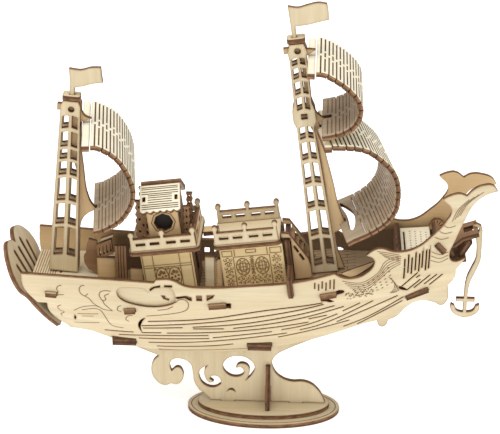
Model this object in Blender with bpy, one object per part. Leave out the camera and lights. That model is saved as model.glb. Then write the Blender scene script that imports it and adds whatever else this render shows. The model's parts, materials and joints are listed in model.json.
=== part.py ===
"""Laser-cut plywood model of a two-masted treasure ship on an oval stand.

Outlines and constants are in millimetres, and the Blender objects are in metres.
+X points to the bow, +Y to port and +Z up. The origin is the middle of the stand's underside.
Almost every piece is a flat plywood plate: an outline in the side plane (x, z), in the cross
plane (y, z) or lying flat (x, y). The hull sides and the sails are plates that are bent.
"""

import math

import bmesh
import bpy
from mathutils import Matrix, Vector

MM = 0.001
PLY = 3.0
GAP = 0.3
SMOOTH = True  # marks a point where an outline runs round instead of turning a corner

SIDE_PLANE = (math.pi / 2, 0.0, 0.0)
CROSS_PLANE = (math.pi / 2, 0.0, math.pi / 2)
FLAT_PLANE = (0.0, 0.0, 0.0)

# Stand
BASE_LENGTH = 102.0
BASE_WIDTH = 48.0
STEP_LENGTH = 88.5
STEP_WIDTH = 36.5
BRACE_X = 3.2
BRACE_HALF_WIDTH = 13.0
BRACE_TOP = 36.0
LAP_HEIGHT = 19.0
STAND_TAB = 9.0
STAND_TAB_AT = (-24.0, 22.0)

# Hull
BEAM_HALF = 34.0
BOW_HALF = 17.0
TAIL_INSET = 10.5
KEEL_HALF = PLY / 2 + GAP + PLY
KEEL_LOW_X = -45.0
KEEL_LOW_Z = 46.5
SHEER_LOW_Z = 111.0
TAB_PROUD = 2.3

# Decks. The main deck and both cabins share one tilted frame.
DECK_ORIGIN = (-28.0, 0.0, 99.5)
DECK_PITCH = math.radians(7.3)
POOP_ORIGIN = (-123.0, 0.0, 103.6)
POOP_PITCH = math.radians(-2.9)
FORE_DECK_ORIGIN = (96.0, 0.0, 131.5)
FORE_DECK_PITCH = math.radians(11.0)

# Cabins, in the deck's frame
AFT_CABIN = {"u": -29.6, "half": 16.5, "half_y": 15.0, "height": 32.2}
AFT_PLATFORM = {"half": 22.5, "half_y": 22.0}
FORE_CABIN = {"u": 24.0, "half": 20.0, "half_y": 13.5, "height": 29.2}
FORE_PLATFORM = {"u": 22.0, "half": 21.0, "half_y": 17.5}
RAIL_HEIGHT = 8.0
FINIAL_RADIUS = 1.8
TOWER = {"u": -28.5, "half": 10.0, "half_y": 11.0, "height": 24.0}
ROOF_SLOPE = math.radians(40.0)
ROOF_LENGTH = 25.5
ROOF_WIDTH = 18.8
ROOF_SCALLOPS = 6
WINDOW_RADIUS = 6.2

# Masts
AFT_MAST_FOOT = (-129.5, 0.0, 105.2)
AFT_MAST_LEAN = math.radians(5.4)
AFT_MAST_HEIGHT = 118.5
FORE_MAST_FOOT = (40.0, 0.0, 109.2)
FORE_MAST_LEAN = math.radians(-7.6)
FORE_MAST_HEIGHT = 155.0
FRAME_OFFSET = PLY + GAP
CHEVRON = 1.0
CAP_HALF = 5.4
YARD_WIDTH = 4.4

# Bow gear
TIE_ORIGIN = (110.4, 0.0, 135.7)
BOW_FLOOR_PITCH = math.radians(25.0)
TIE_PITCH = math.radians(-48.0)
TIE_TAB = 3.7
ANCHOR_BAR = (133.4, 0.0, 140.2)
CATHEAD_PITCH = math.radians(20.0)
HOOK_INNER = 2.4
HOOK_OUTER = 4.2

WOODS = {
    "birch": (0.83, 0.72, 0.52),
    "tan": (0.72, 0.53, 0.32),
    "burnt": (0.42, 0.27, 0.15),
}


# Shape functions


def ease(start, end, value):
    """0 before start, 1 after end, and a smooth step between them."""
    t = min(max((value - start) / (end - start), 0.0), 1.0)
    return t * t * (3.0 - 2.0 * t)


def half_breadth(x):
    """Full amidships, narrower at the bow, and pinched in at the tips of the fish tails."""
    return BEAM_HALF - (BEAM_HALF - BOW_HALF) * ease(20.0, 130.0, x) - TAIL_INSET * ease(116.0, 146.0, x)


def sheer(x):
    return SHEER_LOW_Z + 7.0 * ease(40.0, 155.0, -x) + 24.0 * ease(0.0, 130.0, x)


def keel_line(x):
    reach = x - KEEL_LOW_X
    return KEEL_LOW_Z + (0.00197 if reach > 0 else 0.0026) * reach * reach


def hull_y(x, z):
    """Outer half-breadth of the hull at a place in the side view."""
    rise = (z - keel_line(x)) / (sheer(x) - keel_line(x))
    rise = min(max(rise, 0.0), 1.0)
    return KEEL_HALF + (half_breadth(x) - KEEL_HALF) * (1.0 - (1.0 - rise) ** 1.6)


def box_outline(low_u, low_v, high_u, high_v):
    return [(low_u, low_v), (high_u, low_v), (high_u, high_v), (low_u, high_v)]


def ring_outline(centre, radius_u, radius_v=None, count=24):
    radius_v = radius_u if radius_v is None else radius_v
    turns = [math.tau * i / count for i in range(count)]
    return [(centre[0] + radius_u * math.cos(t), centre[1] + radius_v * math.sin(t)) for t in turns]


def rounded_outline(half_u, half_v, radius, count=4):
    """A centred rectangle with round corners."""
    points = []
    for corner, (su, sv) in enumerate(((1, 1), (-1, 1), (-1, -1), (1, -1))):
        for i in range(count + 1):
            turn = math.pi / 2 * (corner + i / count)
            points.append((
                su * (half_u - radius) + radius * math.cos(turn),
                sv * (half_v - radius) + radius * math.sin(turn),
            ))
    return points


# Object functions


def clear_scene():
    for obj in list(bpy.data.objects):
        bpy.data.objects.remove(obj, do_unlink=True)


def new_collection(name):
    collection = bpy.data.collections.new(name)
    bpy.context.scene.collection.children.link(collection)
    return collection


def wood(name):
    material = bpy.data.materials.get(name)
    if material is None:
        material = bpy.data.materials.new(name)
        material.use_nodes = True
        shader = material.node_tree.nodes["Principled BSDF"]
        tone = next(colour for key, colour in WOODS.items() if name.endswith(key))
        shader.inputs["Base Color"].default_value = (*tone, 1.0)
        shader.inputs["Roughness"].default_value = 0.7
        shader.inputs["Metallic"].default_value = 0.0
    return material


def outline_mesh(name, loops, thickness):
    """One closed mesh from a filled and extruded 2D curve. Later loops are holes."""
    curve = bpy.data.curves.new(name, "CURVE")
    curve.dimensions = "2D"
    curve.fill_mode = "BOTH"
    curve.extrude = thickness / 2 * MM
    curve.resolution_u = 4
    for loop in loops:
        if any(len(place) > 2 for place in loop):
            spline = curve.splines.new("BEZIER")
            spline.bezier_points.add(len(loop) - 1)
            for point, place in zip(spline.bezier_points, loop):
                point.co = (place[0] * MM, place[1] * MM, 0.0)
                handle = "AUTO" if len(place) > 2 else "VECTOR"
                point.handle_left_type = handle
                point.handle_right_type = handle
        else:
            spline = curve.splines.new("POLY")
            spline.points.add(len(loop) - 1)
            for point, place in zip(spline.points, loop):
                point.co = (place[0] * MM, place[1] * MM, 0.0, 1.0)
        spline.use_cyclic_u = True
    guide = bpy.data.objects.new(name, curve)
    bpy.context.scene.collection.objects.link(guide)
    graph = bpy.context.evaluated_depsgraph_get()
    mesh = bpy.data.meshes.new_from_object(guide.evaluated_get(graph))
    bpy.data.objects.remove(guide)
    body = bmesh.new()
    body.from_mesh(mesh)
    bmesh.ops.remove_doubles(body, verts=body.verts, dist=0.00001)
    bmesh.ops.recalc_face_normals(body, faces=body.faces)
    body.to_mesh(mesh)
    body.free()
    return mesh


def add_object(name, mesh, tone="birch", place=(0, 0, 0), turn=FLAT_PLANE, parent=None):
    obj = bpy.data.objects.new(name, mesh)
    obj.data.materials.clear()
    obj.data.materials.append(wood(f"{name}_{tone}"))
    obj.location = Vector(place) * MM
    obj.rotation_euler = turn
    obj.parent = parent
    SHIP.objects.link(obj)
    return obj


def plate(name, loops, tone="birch", place=(0, 0, 0), turn=FLAT_PLANE, parent=None, thickness=PLY):
    return add_object(name, outline_mesh(name, loops, thickness), tone, place, turn, parent)


def empty(name, place, pitch):
    """A frame tilted about Y. A positive pitch lifts the bow end, and tilts a mast aft."""
    obj = bpy.data.objects.new(name, None)
    obj.location = Vector(place) * MM
    obj.rotation_euler = (0.0, -pitch, 0.0)
    SHIP.objects.link(obj)
    return obj


def cut(obj, low, high, parent=None):
    """Cuts a box out of an object. The box is stated in the parent's frame."""
    body = bmesh.new()
    bmesh.ops.create_cube(body, size=1.0)
    size = (Vector(high) - Vector(low)) * MM
    middle = (Vector(high) + Vector(low)) / 2 * MM
    placed = Matrix.Translation(middle) @ Matrix.Diagonal((*size, 1.0))
    bmesh.ops.transform(body, matrix=placed, verts=body.verts)
    mesh = bpy.data.meshes.new(f"{obj.name}_cutter")
    body.to_mesh(mesh)
    body.free()
    cutter = bpy.data.objects.new(mesh.name, mesh)
    cutter.parent = parent
    cutter.hide_render = True
    cutter.display_type = "WIRE"
    CUTTERS.objects.link(cutter)
    modifier = obj.modifiers.new("slot", "BOOLEAN")
    modifier.operation = "DIFFERENCE"
    modifier.solver = "EXACT"
    modifier.object = cutter


# Stand


def stand():
    slots = [box_outline(x - STAND_TAB / 2 - GAP, -PLY / 2 - GAP, x + STAND_TAB / 2 + GAP, PLY / 2 + GAP)
             for x in STAND_TAB_AT]
    lower = ring_outline((0, 0), BASE_LENGTH / 2, BASE_WIDTH / 2, 64)
    upper = ring_outline((0, 0), STEP_LENGTH / 2, STEP_WIDTH / 2, 64)
    plate("stand_base_lower", [lower, *slots], place=(0, 0, PLY / 2))
    plate("stand_base_upper", [upper, *slots], place=(0, 0, PLY * 1.5 + GAP))
    foot = 2 * PLY + 2 * GAP
    half = BRACE_HALF_WIDTH
    lap = PLY / 2 + GAP
    brace = [
        (-half, foot), (half, foot), (half, 14), (half - 4, 21, SMOOTH), (5.5, 29, SMOOTH), (4.5, BRACE_TOP),
        (lap, BRACE_TOP), (lap, LAP_HEIGHT - GAP), (-lap, LAP_HEIGHT - GAP), (-lap, BRACE_TOP),
        (-4.5, BRACE_TOP), (-5.5, 29, SMOOTH), (4 - half, 21, SMOOTH), (-half, 14),
    ]
    plate("stand_cross_brace", [brace], "burnt", (BRACE_X, 0, 0), CROSS_PLANE)


def keel_scroll_plate():
    foot = 2 * PLY + 2 * GAP
    root = foot + GAP
    tabs = []
    for x in STAND_TAB_AT:
        tabs += [(x - STAND_TAB / 2, root), (x - STAND_TAB / 2, GAP),
                 (x + STAND_TAB / 2, GAP), (x + STAND_TAB / 2, root)]
    lap = PLY / 2 + GAP
    outline = [
        (-35, foot), *tabs[:4], (BRACE_X - lap, foot), (BRACE_X - lap, LAP_HEIGHT),
        (BRACE_X + lap, LAP_HEIGHT), (BRACE_X + lap, foot), *tabs[4:], (41.5, foot),
        (39.5, 12, SMOOTH), (36, 17.5, SMOOTH), (31.5, 21.5, SMOOTH), (26, 23.2, SMOOTH), (19, 23, SMOOTH),
        (11.5, 26, SMOOTH), (6.8, 32, SMOOTH), (5.8, 38.5, SMOOTH), (8.5, 43.5, SMOOTH), (16, 48.5, SMOOTH),
        (30, 55.5, SMOOTH), (50, 64.5, SMOOTH), (70, 72.5), (66, 80), (30, 66, SMOOTH), (-10, 62, SMOOTH),
        (-70, 62, SMOOTH), (-96, 66), (-99, 55.5), (-84, 47, SMOOTH), (-69.5, 40.5),
        (-73.5, 36, SMOOTH), (-75, 29, SMOOTH), (-72.5, 21.5, SMOOTH), (-66.5, 17.2, SMOOTH), (-62, 18.8),
        (-58, 18.2, SMOOTH), (-54.2, 22, SMOOTH), (-53.8, 28, SMOOTH), (-57, 31.8, SMOOTH), (-61.5, 28.5),
        (-62.6, 33.5, SMOOTH), (-60.5, 37.6, SMOOTH), (-55.5, 38.6, SMOOTH), (-49, 35, SMOOTH),
        (-47.2, 28, SMOOTH), (-46.4, 21, SMOOTH), (-43, 14.2), (-39.5, 11.8, SMOOTH), (-37, 9),
    ]
    spiral = [
        (-16, 41.8, SMOOTH), (-9, 39, SMOOTH), (-5.8, 33.5, SMOOTH), (-7.5, 28, SMOOTH), (-12, 22.5),
        (-9.3, 28.5, SMOOTH), (-9.8, 33.5, SMOOTH), (-13.5, 36, SMOOTH), (-17, 35, SMOOTH), (-18.3, 32.5),
        (-15, 33, SMOOTH), (-12.6, 29.5), (-14, 27, SMOOTH), (-19, 25.4, SMOOTH), (-24.5, 28, SMOOTH),
        (-27, 33, SMOOTH), (-24, 39.5, SMOOTH),
    ]
    crescent = [
        (-37, 34), (-42, 30.5, SMOOTH), (-43, 25, SMOOTH), (-39.5, 18.5, SMOOTH), (-33, 16.6, SMOOTH),
        (-28.3, 19.5), (-29.5, 24.5, SMOOTH), (-34, 25.8, SMOOTH), (-36.3, 23.5), (-33.3, 21.2),
        (-36, 20.4, SMOOTH), (-39, 24.5, SMOOTH), (-39.4, 30, SMOOTH),
    ]
    curl = [(-24.8, 13.3), (-22.5, 16.2, SMOOTH), (-20, 16, SMOOTH), (-18.6, 13.3), (-20.8, 14.8, SMOOTH),
            (-23, 14.8, SMOOTH)]
    keel = plate("keel_scroll_plate", [outline, spiral, crescent, curl], turn=SIDE_PLANE)
    for _, _, size, frame in FLOOR_BOARDS:
        low, high = board_slot(size, -PLY, PLY)
        cut(keel, low, high, frame)


# Hull


def floor_boards():
    """Boards that cross the bottom of the hull: name, middle, half length and thickness, own frame."""
    boards = (
        ("floor_aft", (-91.25, 0.0, 56.0), (7.75, 2 * PLY), 0.0),
        ("floor_mid", (-2.25, 0.0, 55.5), (7.75, 2 * PLY), 0.0),
        ("floor_bow", (98.0, 0.0, 98.9), (7.5, PLY), BOW_FLOOR_PITCH),
    )
    return [(name, at, size, empty(f"{name}_frame", at, pitch)) for name, at, size, pitch in boards]


def board_slot(size, near, far):
    """The box a floor board leaves in a plate that it passes through, in the board's own frame."""
    half, rise = size[0] + GAP, size[1] / 2 + GAP
    return (-half, near, -rise), (half, far, rise)


def hull_outline():
    stern = [
        (-127, 62.5), (-132, 67.5, SMOOTH), (-136.4, 75, SMOOTH), (-138.2, 84, SMOOTH), (-137.6, 92),
        (-144.2, 91), (-147.4, 98, SMOOTH), (-150.4, 107, SMOOTH), (-150.6, 118.5),
    ]
    gunwale = [
        (-67.5, 114), (-66, 116.2), (-57, 116.5, SMOOTH), (-48, 112.2, SMOOTH), (-38, 111.2, SMOOTH),
        (-8, 113.2, SMOOTH), (20, 116.5, SMOOTH), (45, 122.5), (50, 119.4, SMOOTH), (57, 118.3, SMOOTH),
        (64, 120.6, SMOOTH), (69.8, 128, SMOOTH), (68.4, 132, SMOOTH), (64.5, 134),
        (68.5, 137, SMOOTH), (73, 138, SMOOTH), (81, 135, SMOOTH), (89, 134.5, SMOOTH), (97, 137.2, SMOOTH),
        (105, 144.2, SMOOTH), (112.5, 153, SMOOTH), (115.8, 162, SMOOTH), (110, 169),
    ]
    fish_tail = [
        (115, 171.6, SMOOTH), (120, 172.5, SMOOTH), (125, 170), (129, 173.5, SMOOTH), (136, 175, SMOOTH),
        (141.5, 173.8, SMOOTH), (144.5, 169.8), (137, 168, SMOOTH), (130, 163.6, SMOOTH),
        (125, 154.5, SMOOTH), (119.5, 141, SMOOTH), (116.3, 129.5, SMOOTH), (119.5, 124.6, SMOOTH),
        (127, 125.8),
    ]
    stem = [
        (121.5, 117.5), (121.5, 111, SMOOTH), (117.3, 102), (118.6, 96, SMOOTH), (117.6, 89.5, SMOOTH),
        (114.3, 86.8, SMOOTH), (110, 88.8, SMOOTH), (97, 89.8, SMOOTH), (91.5, 84.5, SMOOTH),
        (86.5, 78, SMOOTH), (81, 74.8), (79, 70.2, SMOOTH), (75.8, 69.8, SMOOTH), (73.5, 74.2),
    ]
    bottom = [
        (64, 72, SMOOTH), (44, 63.5, SMOOTH), (20, 54.8, SMOOTH), (-10, 48.6, SMOOTH), (-40, 46.8, SMOOTH),
        (-70, 47, SMOOTH), (-86, 50, SMOOTH), (-100, 56.5, SMOOTH), (-112, 62.5),
    ]
    return stern + gunwale + fish_tail + stem + bottom


def bent_hull_mesh(name, side):
    """The flat side plate, sliced into strips and laid on the hull's outer surface."""
    mesh = outline_mesh(name, [hull_outline()], PLY)
    body = bmesh.new()
    body.from_mesh(mesh)
    turned = Matrix.Rotation(math.pi / 2, 4, "X")
    bmesh.ops.transform(body, matrix=turned, verts=body.verts)
    bmesh.ops.dissolve_limit(body, angle_limit=0.01, verts=body.verts, edges=body.edges)
    slices = [((x, 0, 0), (1, 0, 0)) for x in range(-140, 141, 14)]
    slices += [((0, 0, z), (0, 0, 1)) for z in range(54, 130, 9)]
    for at, normal in slices:
        geometry = body.verts[:] + body.edges[:] + body.faces[:]
        bmesh.ops.bisect_plane(body, geom=geometry, plane_co=Vector(at) * MM, plane_no=normal, dist=1e-7)
    bmesh.ops.triangulate(body, faces=body.faces)
    for vertex in body.verts:
        outer = hull_y(vertex.co.x / MM, vertex.co.z / MM)
        vertex.co.y = side * (outer if vertex.co.y < 0 else outer - PLY) * MM
    bmesh.ops.recalc_face_normals(body, faces=body.faces)
    body.to_mesh(mesh)
    body.free()
    return mesh


def hull_sides(deck_frame, poop_frame, tie_frame):
    for name, side in (("hull_side_starboard", -1), ("hull_side_port", 1)):
        hull = add_object(name, bent_hull_mesh(name, side), "birch" if side < 0 else "tan")
        near, far = (-50, 0) if side < 0 else (0, 50)
        for _, _, size, frame in FLOOR_BOARDS:
            low, high = board_slot(size, near, far)
            cut(hull, low, high, frame)
        for low, high in MAIN_DECK_TABS:
            cut(hull, (low - GAP, near, -PLY - GAP), (high + GAP, far, GAP), deck_frame)
        for low, high in POOP_DECK_TABS:
            cut(hull, (low - GAP, near, -PLY - GAP), (high + GAP, far, GAP), poop_frame)
        ear_u = FORE_CABIN["u"] + FORE_CABIN["half"] + PLY
        cut(hull, (ear_u - PLY / 2 - GAP, near, EAR_LOW - GAP), (ear_u + PLY / 2 + GAP, far, 60), deck_frame)
        reach = TIE_TAB + GAP
        cut(hull, (-reach, near, -PLY / 2 - GAP), (reach, far, PLY / 2 + GAP), tie_frame)


def transom():
    """The raked stern plate, with two lobes at its top and a fan of long windows."""
    half = [(0, 63), (4, 67, SMOOTH), (10, 69.3, SMOOTH), (17, 67, SMOOTH), (24.5, 60.5, SMOOTH),
            (29.5, 51, SMOOTH), (29, 42, SMOOTH), (23.5, 34, SMOOTH), (19.5, 24, SMOOTH),
            (13, 11, SMOOTH), (5, -1)]
    outline = half + [(-y, *rest) for y, *rest in reversed(half[1:])]
    windows = []
    for y, low, high in ((-17, 38, 54), (-9, 36, 60.5), (0, 34, 58.5), (9, 36, 60.5), (17, 38, 54)):
        lean = 0.12 * y
        sill, head = y - lean, y
        windows.append([(sill - 1.5, low), (sill, low - 1.5, SMOOTH), (sill + 1.5, low),
                        (head + 1.5, high), (head, high + 1.5, SMOOTH), (head - 1.5, high)])
    frame = empty("transom_frame", (-135.4, 0, 64.7), math.radians(24.5))
    plate("transom", [outline, *windows], "birch", (0, 0, 0), CROSS_PLANE, frame)


def floors():
    for name, at, (half_length, thickness), frame in FLOOR_BOARDS:
        reach = hull_y(at[0], at[2]) + TAB_PROUD
        outline = box_outline(-half_length, -reach, half_length, reach)
        plate(name, [outline], "burnt", (0, 0, 0), parent=frame, thickness=thickness)


# Decks

MAIN_DECK_TABS = ((-60.0, -53.0), (-5.5, 5.5), (65.0, 75.0))
POOP_DECK_TABS = ((-13.5, -6.5),)
EAR_LOW = 1.5


def deck_outline(origin, pitch, low, high, tabs, step=12.0):
    """A deck that fits inside the hull, with tabs that reach out through its sides."""

    def inner(u):
        x = origin[0] + u * math.cos(pitch) + PLY * math.sin(pitch)
        z = origin[2] + u * math.sin(pitch) - PLY
        return hull_y(x, z) - PLY - 2 * GAP

    def outer(u):
        return hull_y(origin[0] + u * math.cos(pitch), origin[2] + u * math.sin(pitch)) + TAB_PROUD

    marks = [low + i * step for i in range(int((high - low) / step) + 1)]
    marks = [u for u in marks if all(not a - 2 < u < b + 2 for a, b in tabs)]
    edge = [(u, inner(u)) for u in marks + [high]]
    for a, b in tabs:
        edge += [(a, inner(a)), (a + 1e-6, outer(a)), (b - 1e-6, outer(b)), (b, inner(b))]
    edge.sort()
    return edge + [(u, -y) for u, y in reversed(edge)]


def decks(deck_frame, poop_frame):
    foot_slots = [box_outline(u - 1.8, -1.8, u + 1.8, 1.8) for u in (-8, 36)]
    main = deck_outline(DECK_ORIGIN, DECK_PITCH, -66, 104, MAIN_DECK_TABS)
    plate("main_deck", [main, *foot_slots], place=(0, 0, -PLY / 2), parent=deck_frame)
    poop = deck_outline(POOP_ORIGIN, POOP_PITCH, -26, 27, POOP_DECK_TABS)
    plate("poop_deck", [poop], place=(0, 0, -PLY / 2), parent=poop_frame)
    fore_frame = empty("fore_deck_frame", FORE_DECK_ORIGIN, FORE_DECK_PITCH)
    fore = deck_outline(FORE_DECK_ORIGIN, FORE_DECK_PITCH, -9.3, 9.5, ())
    plate("fore_deck", [fore], place=(0, 0, -PLY / 2), parent=fore_frame)
    bulkhead_x = FORE_DECK_ORIGIN[0] - 11.5
    low = DECK_ORIGIN[2] + (bulkhead_x - DECK_ORIGIN[0]) * math.tan(DECK_PITCH) + 1.5
    top = 133.0
    side = [(hull_y(bulkhead_x + 2, z) - PLY - 2 * GAP, z) for z in (low, (low + top) / 2, top)]
    outline = side + [(-y, z) for y, z in reversed(side)]
    plate("bulkhead_bow", [outline], "burnt", (bulkhead_x, 0, 0), CROSS_PLANE)


# Cabins


def rail_outline(half, finials):
    """A rail with slots in pairs between its finials, standing on v = 0."""
    top = [(half, 0)]
    for at in sorted(finials, reverse=True):
        r = FINIAL_RADIUS
        neck = [(at + 1, RAIL_HEIGHT), (at + 1, RAIL_HEIGHT + 1.5)]
        ball = [(at + r, RAIL_HEIGHT + 3.3, SMOOTH), (at, RAIL_HEIGHT + 5, SMOOTH),
                (at - r, RAIL_HEIGHT + 3.3, SMOOTH)]
        top += neck + ball + [(at - 1, RAIL_HEIGHT + 1.5), (at - 1, RAIL_HEIGHT)]
    loops = [[(-half, 0), *top]]
    pitch = half / 2 - 0.9
    for centre in (-1.5 * pitch, -0.55 * pitch, 0.55 * pitch, 1.5 * pitch):
        loops.append(box_outline(centre - 0.32 * pitch, 3.4, centre + 0.32 * pitch, 5.4))
    return loops


def end_rail_outline(half):
    outline = [(-half, 0), (half, 0), (half, RAIL_HEIGHT), (-half, RAIL_HEIGHT)]
    slots = [box_outline(side * half / 2 - 3, 3.4, side * half / 2 + 3, 5.4) for side in (-1, 1)]
    return [outline, *slots]


def four_walls(prefix, deck_frame, room, floor, windows):
    """Starboard and port walls run full length, and the end walls stand between them."""
    top = floor + room["height"]
    for side, y in (("starboard", -room["half_y"]), ("port", room["half_y"])):
        outline = box_outline(-room["half"], floor, room["half"], top)
        place = (room["u"], y, 0)
        plate(f"{prefix}_wall_{side}", [outline, *windows], "birch", place, SIDE_PLANE, deck_frame)


def end_wall(name, deck_frame, room, side, outline, tone="tan", holes=()):
    at = room["u"] + side * (room["half"] - PLY / 2)
    plate(name, [outline, *holes], tone, (at, 0, 0), CROSS_PLANE, deck_frame)


def aft_cabin(deck_frame):
    four_walls("cabin_aft", deck_frame, AFT_CABIN, GAP, [])
    inner = AFT_CABIN["half_y"] - PLY / 2 - GAP
    for name, side in (("cabin_aft_wall_stern", -1), ("cabin_aft_wall_bow", 1)):
        outline = box_outline(-inner, GAP, inner, GAP + AFT_CABIN["height"])
        door = box_outline(-4, 8, 4, 22)
        end_wall(name, deck_frame, AFT_CABIN, side, outline, "burnt", [door])
    floor = AFT_CABIN["height"] + 2 * GAP
    outline = rounded_outline(AFT_PLATFORM["half"], AFT_PLATFORM["half_y"], 3.5)
    place = (AFT_CABIN["u"], 0, floor + PLY / 2)
    plate("cabin_aft_platform", [outline], "birch", place, FLAT_PLANE, deck_frame)
    floor += PLY + GAP
    half = AFT_PLATFORM["half"] - 1.8
    edge_y = AFT_PLATFORM["half_y"] - 2.4
    for side, y in (("starboard", -edge_y), ("port", edge_y)):
        loops = rail_outline(half, (1.3 - half, 0, half - 1.3))
        plate(f"cabin_aft_rail_{side}", loops, "birch", (AFT_CABIN["u"], y, floor), SIDE_PLANE, deck_frame)
    loops = end_rail_outline(edge_y - PLY / 2 - GAP)
    at = (AFT_CABIN["u"] + half - PLY / 2, 0, floor)
    plate("cabin_aft_rail_bow", loops, "burnt", at, CROSS_PLANE, deck_frame)
    return floor


def roof_outline(side):
    """A roof panel with a straight ridge and a scalloped eave."""
    half = ROOF_LENGTH / 2
    scallop = ROOF_LENGTH / ROOF_SCALLOPS
    cusp, bulge = side * (ROOF_WIDTH / 2 - 1.2), side * ROOF_WIDTH / 2
    eave = [(-half, cusp)]
    for i in range(ROOF_SCALLOPS):
        left = -half + i * scallop
        eave += [(left + scallop / 2, bulge, SMOOTH), (left + scallop, cusp)]
    return [(half, -side * ROOF_WIDTH / 2), (-half, -side * ROOF_WIDTH / 2), *eave]


def tower(deck_frame, floor):
    middle = floor + TOWER["height"] * 0.6
    window = ring_outline((0, middle), WINDOW_RADIUS, count=8)
    four_walls("tower", deck_frame, TOWER, floor, [window])
    inner = TOWER["half_y"] - PLY / 2 - GAP
    eave = floor + TOWER["height"]
    outer = TOWER["half_y"] + PLY / 2
    rise = math.tan(ROOF_SLOPE)
    shoulder = eave + (outer - inner) * rise - GAP
    peak = eave + outer * rise - GAP
    for name, side in (("tower_wall_stern", -1), ("tower_wall_bow", 1)):
        outline = [(-inner, floor), (inner, floor), (inner, shoulder), (0, peak), (-inner, shoulder)]
        end_wall(name, deck_frame, TOWER, side, outline, "burnt")
    notches = [box_outline(side * 10.2 - 1, -1.6, side * 10.2 + 1, 1.6) for side in (-1, 1)]
    reach = 8.2
    lift = PLY / 2 + 2 * GAP
    for name, side in (("tower_roof_starboard", -1), ("tower_roof_port", 1)):
        y = reach + lift * math.sin(ROOF_SLOPE)
        z = eave + (outer - reach) * rise + lift * math.cos(ROOF_SLOPE)
        turn = (-side * ROOF_SLOPE, 0.0, 0.0)
        plate(name, [roof_outline(side), *notches], "birch", (TOWER["u"], side * y, z), turn, deck_frame)


def fore_cabin(deck_frame):
    four_walls("cabin_fore", deck_frame, FORE_CABIN, GAP, [])
    inner = FORE_CABIN["half_y"] - PLY / 2 - GAP
    top = GAP + FORE_CABIN["height"]
    stern = box_outline(-inner, GAP, inner, top)
    end_wall("cabin_fore_wall_stern", deck_frame, FORE_CABIN, -1, stern, "burnt")
    ear_u = FORE_CABIN["u"] + FORE_CABIN["half"] + PLY
    origin = Vector(DECK_ORIGIN)
    x = origin.x + ear_u * math.cos(DECK_PITCH)
    z = origin.z + ear_u * math.sin(DECK_PITCH)
    tight = hull_y(x, z) - PLY - 2 * GAP
    reach = half_breadth(x) + TAB_PROUD
    half = FORE_CABIN["half_y"] + PLY / 2
    right = [(tight, GAP), (tight, EAR_LOW), (reach, EAR_LOW), (reach, 14), (half, 14), (half, top)]
    outline = right + [(-y, v) for y, v in reversed(right)]
    plate("cabin_fore_wall_bow", [outline], "burnt", (ear_u, 0, 0), CROSS_PLANE, deck_frame)
    floor = FORE_CABIN["height"] + 2 * GAP
    outline = rounded_outline(FORE_PLATFORM["half"], FORE_PLATFORM["half_y"], 3.0)
    place = (FORE_PLATFORM["u"], 0, floor + PLY / 2)
    plate("cabin_fore_platform", [outline], "birch", place, FLAT_PLANE, deck_frame)
    floor += PLY + GAP
    half = FORE_PLATFORM["half"] - 0.8
    edge_y = FORE_PLATFORM["half_y"] - 2.4
    for side, y in (("starboard", -edge_y), ("port", edge_y)):
        loops = rail_outline(half, (1.3 - half, 0, half - 1.3))
        place = (FORE_PLATFORM["u"], y, floor)
        plate(f"cabin_fore_rail_{side}", loops, "birch", place, SIDE_PLANE, deck_frame)
    low, high = edge_y - PLY / 2 - GAP, 7.0
    at = (FORE_PLATFORM["u"] - half + PLY / 2, 0, floor)
    loops = [box_outline(-low, 0, high - 12, RAIL_HEIGHT), box_outline(-low + 1.5, 3.4, high - 13.5, 5.4)]
    plate("cabin_fore_rail_stern", loops, "burnt", at, CROSS_PLANE, deck_frame)


def bridge(deck_frame):
    """The short plank between the two platforms."""
    aft_end = AFT_CABIN["u"] + AFT_PLATFORM["half"] + GAP
    fore_end = FORE_PLATFORM["u"] - FORE_PLATFORM["half"] - GAP
    low = FORE_CABIN["height"] + 2 * GAP
    outline = box_outline(aft_end, 1.0, fore_end, 9.0)
    plate("bridge_plank", [outline], "tan", (0, 0, low + PLY), FLAT_PLANE, deck_frame)


def stair():
    outline = [(20.6, 106.6), (31.2, 108.4), (30, 117), (28.4, 121.8), (15.8, 139), (11.2, 139.4),
               (11.2, 136.4), (17.2, 136.4)]
    top, bottom = Vector((17.2, 135)), Vector((27.6, 119.6))
    slots = []
    for start in (0.25, 0.6):
        a = top.lerp(bottom, start)
        b = top.lerp(bottom, start + 0.28)
        down = Vector((-1.1, -0.9))
        slots.append([tuple(p) for p in (a, b, b + down, a + down)])
    for name, y in (("stair_side_starboard", -9.5), ("stair_side_port", 9.5)):
        plate(name, [outline, *slots], "tan", (0, y, 0), SIDE_PLANE)
    half = 9.5 - PLY / 2 - GAP
    plate("stair_tread", [box_outline(-3.5, -half, 3.5, half)], "burnt", (25.0, 0, 115.0))


# Masts and sails


WINDOW_PAIR = ((-0.76, -0.1, 0.0, CHEVRON), (0.2, 0.8, CHEVRON, 0.0))


def lattice_windows(rows, half_at):
    """Two columns of windows between the stiles of a mast frame, with rails that peak in the middle."""
    loops = []
    for low, high in rows:
        (cl, hl), (ch, hh) = half_at(low), half_at(high)
        for left, right, left_lift, right_lift in WINDOW_PAIR:
            loops.append([(cl + left * hl, low + left_lift), (cl + right * hl, low + right_lift),
                          (ch + right * hh, high + right_lift), (ch + left * hh, high + left_lift)])
    return loops


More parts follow.
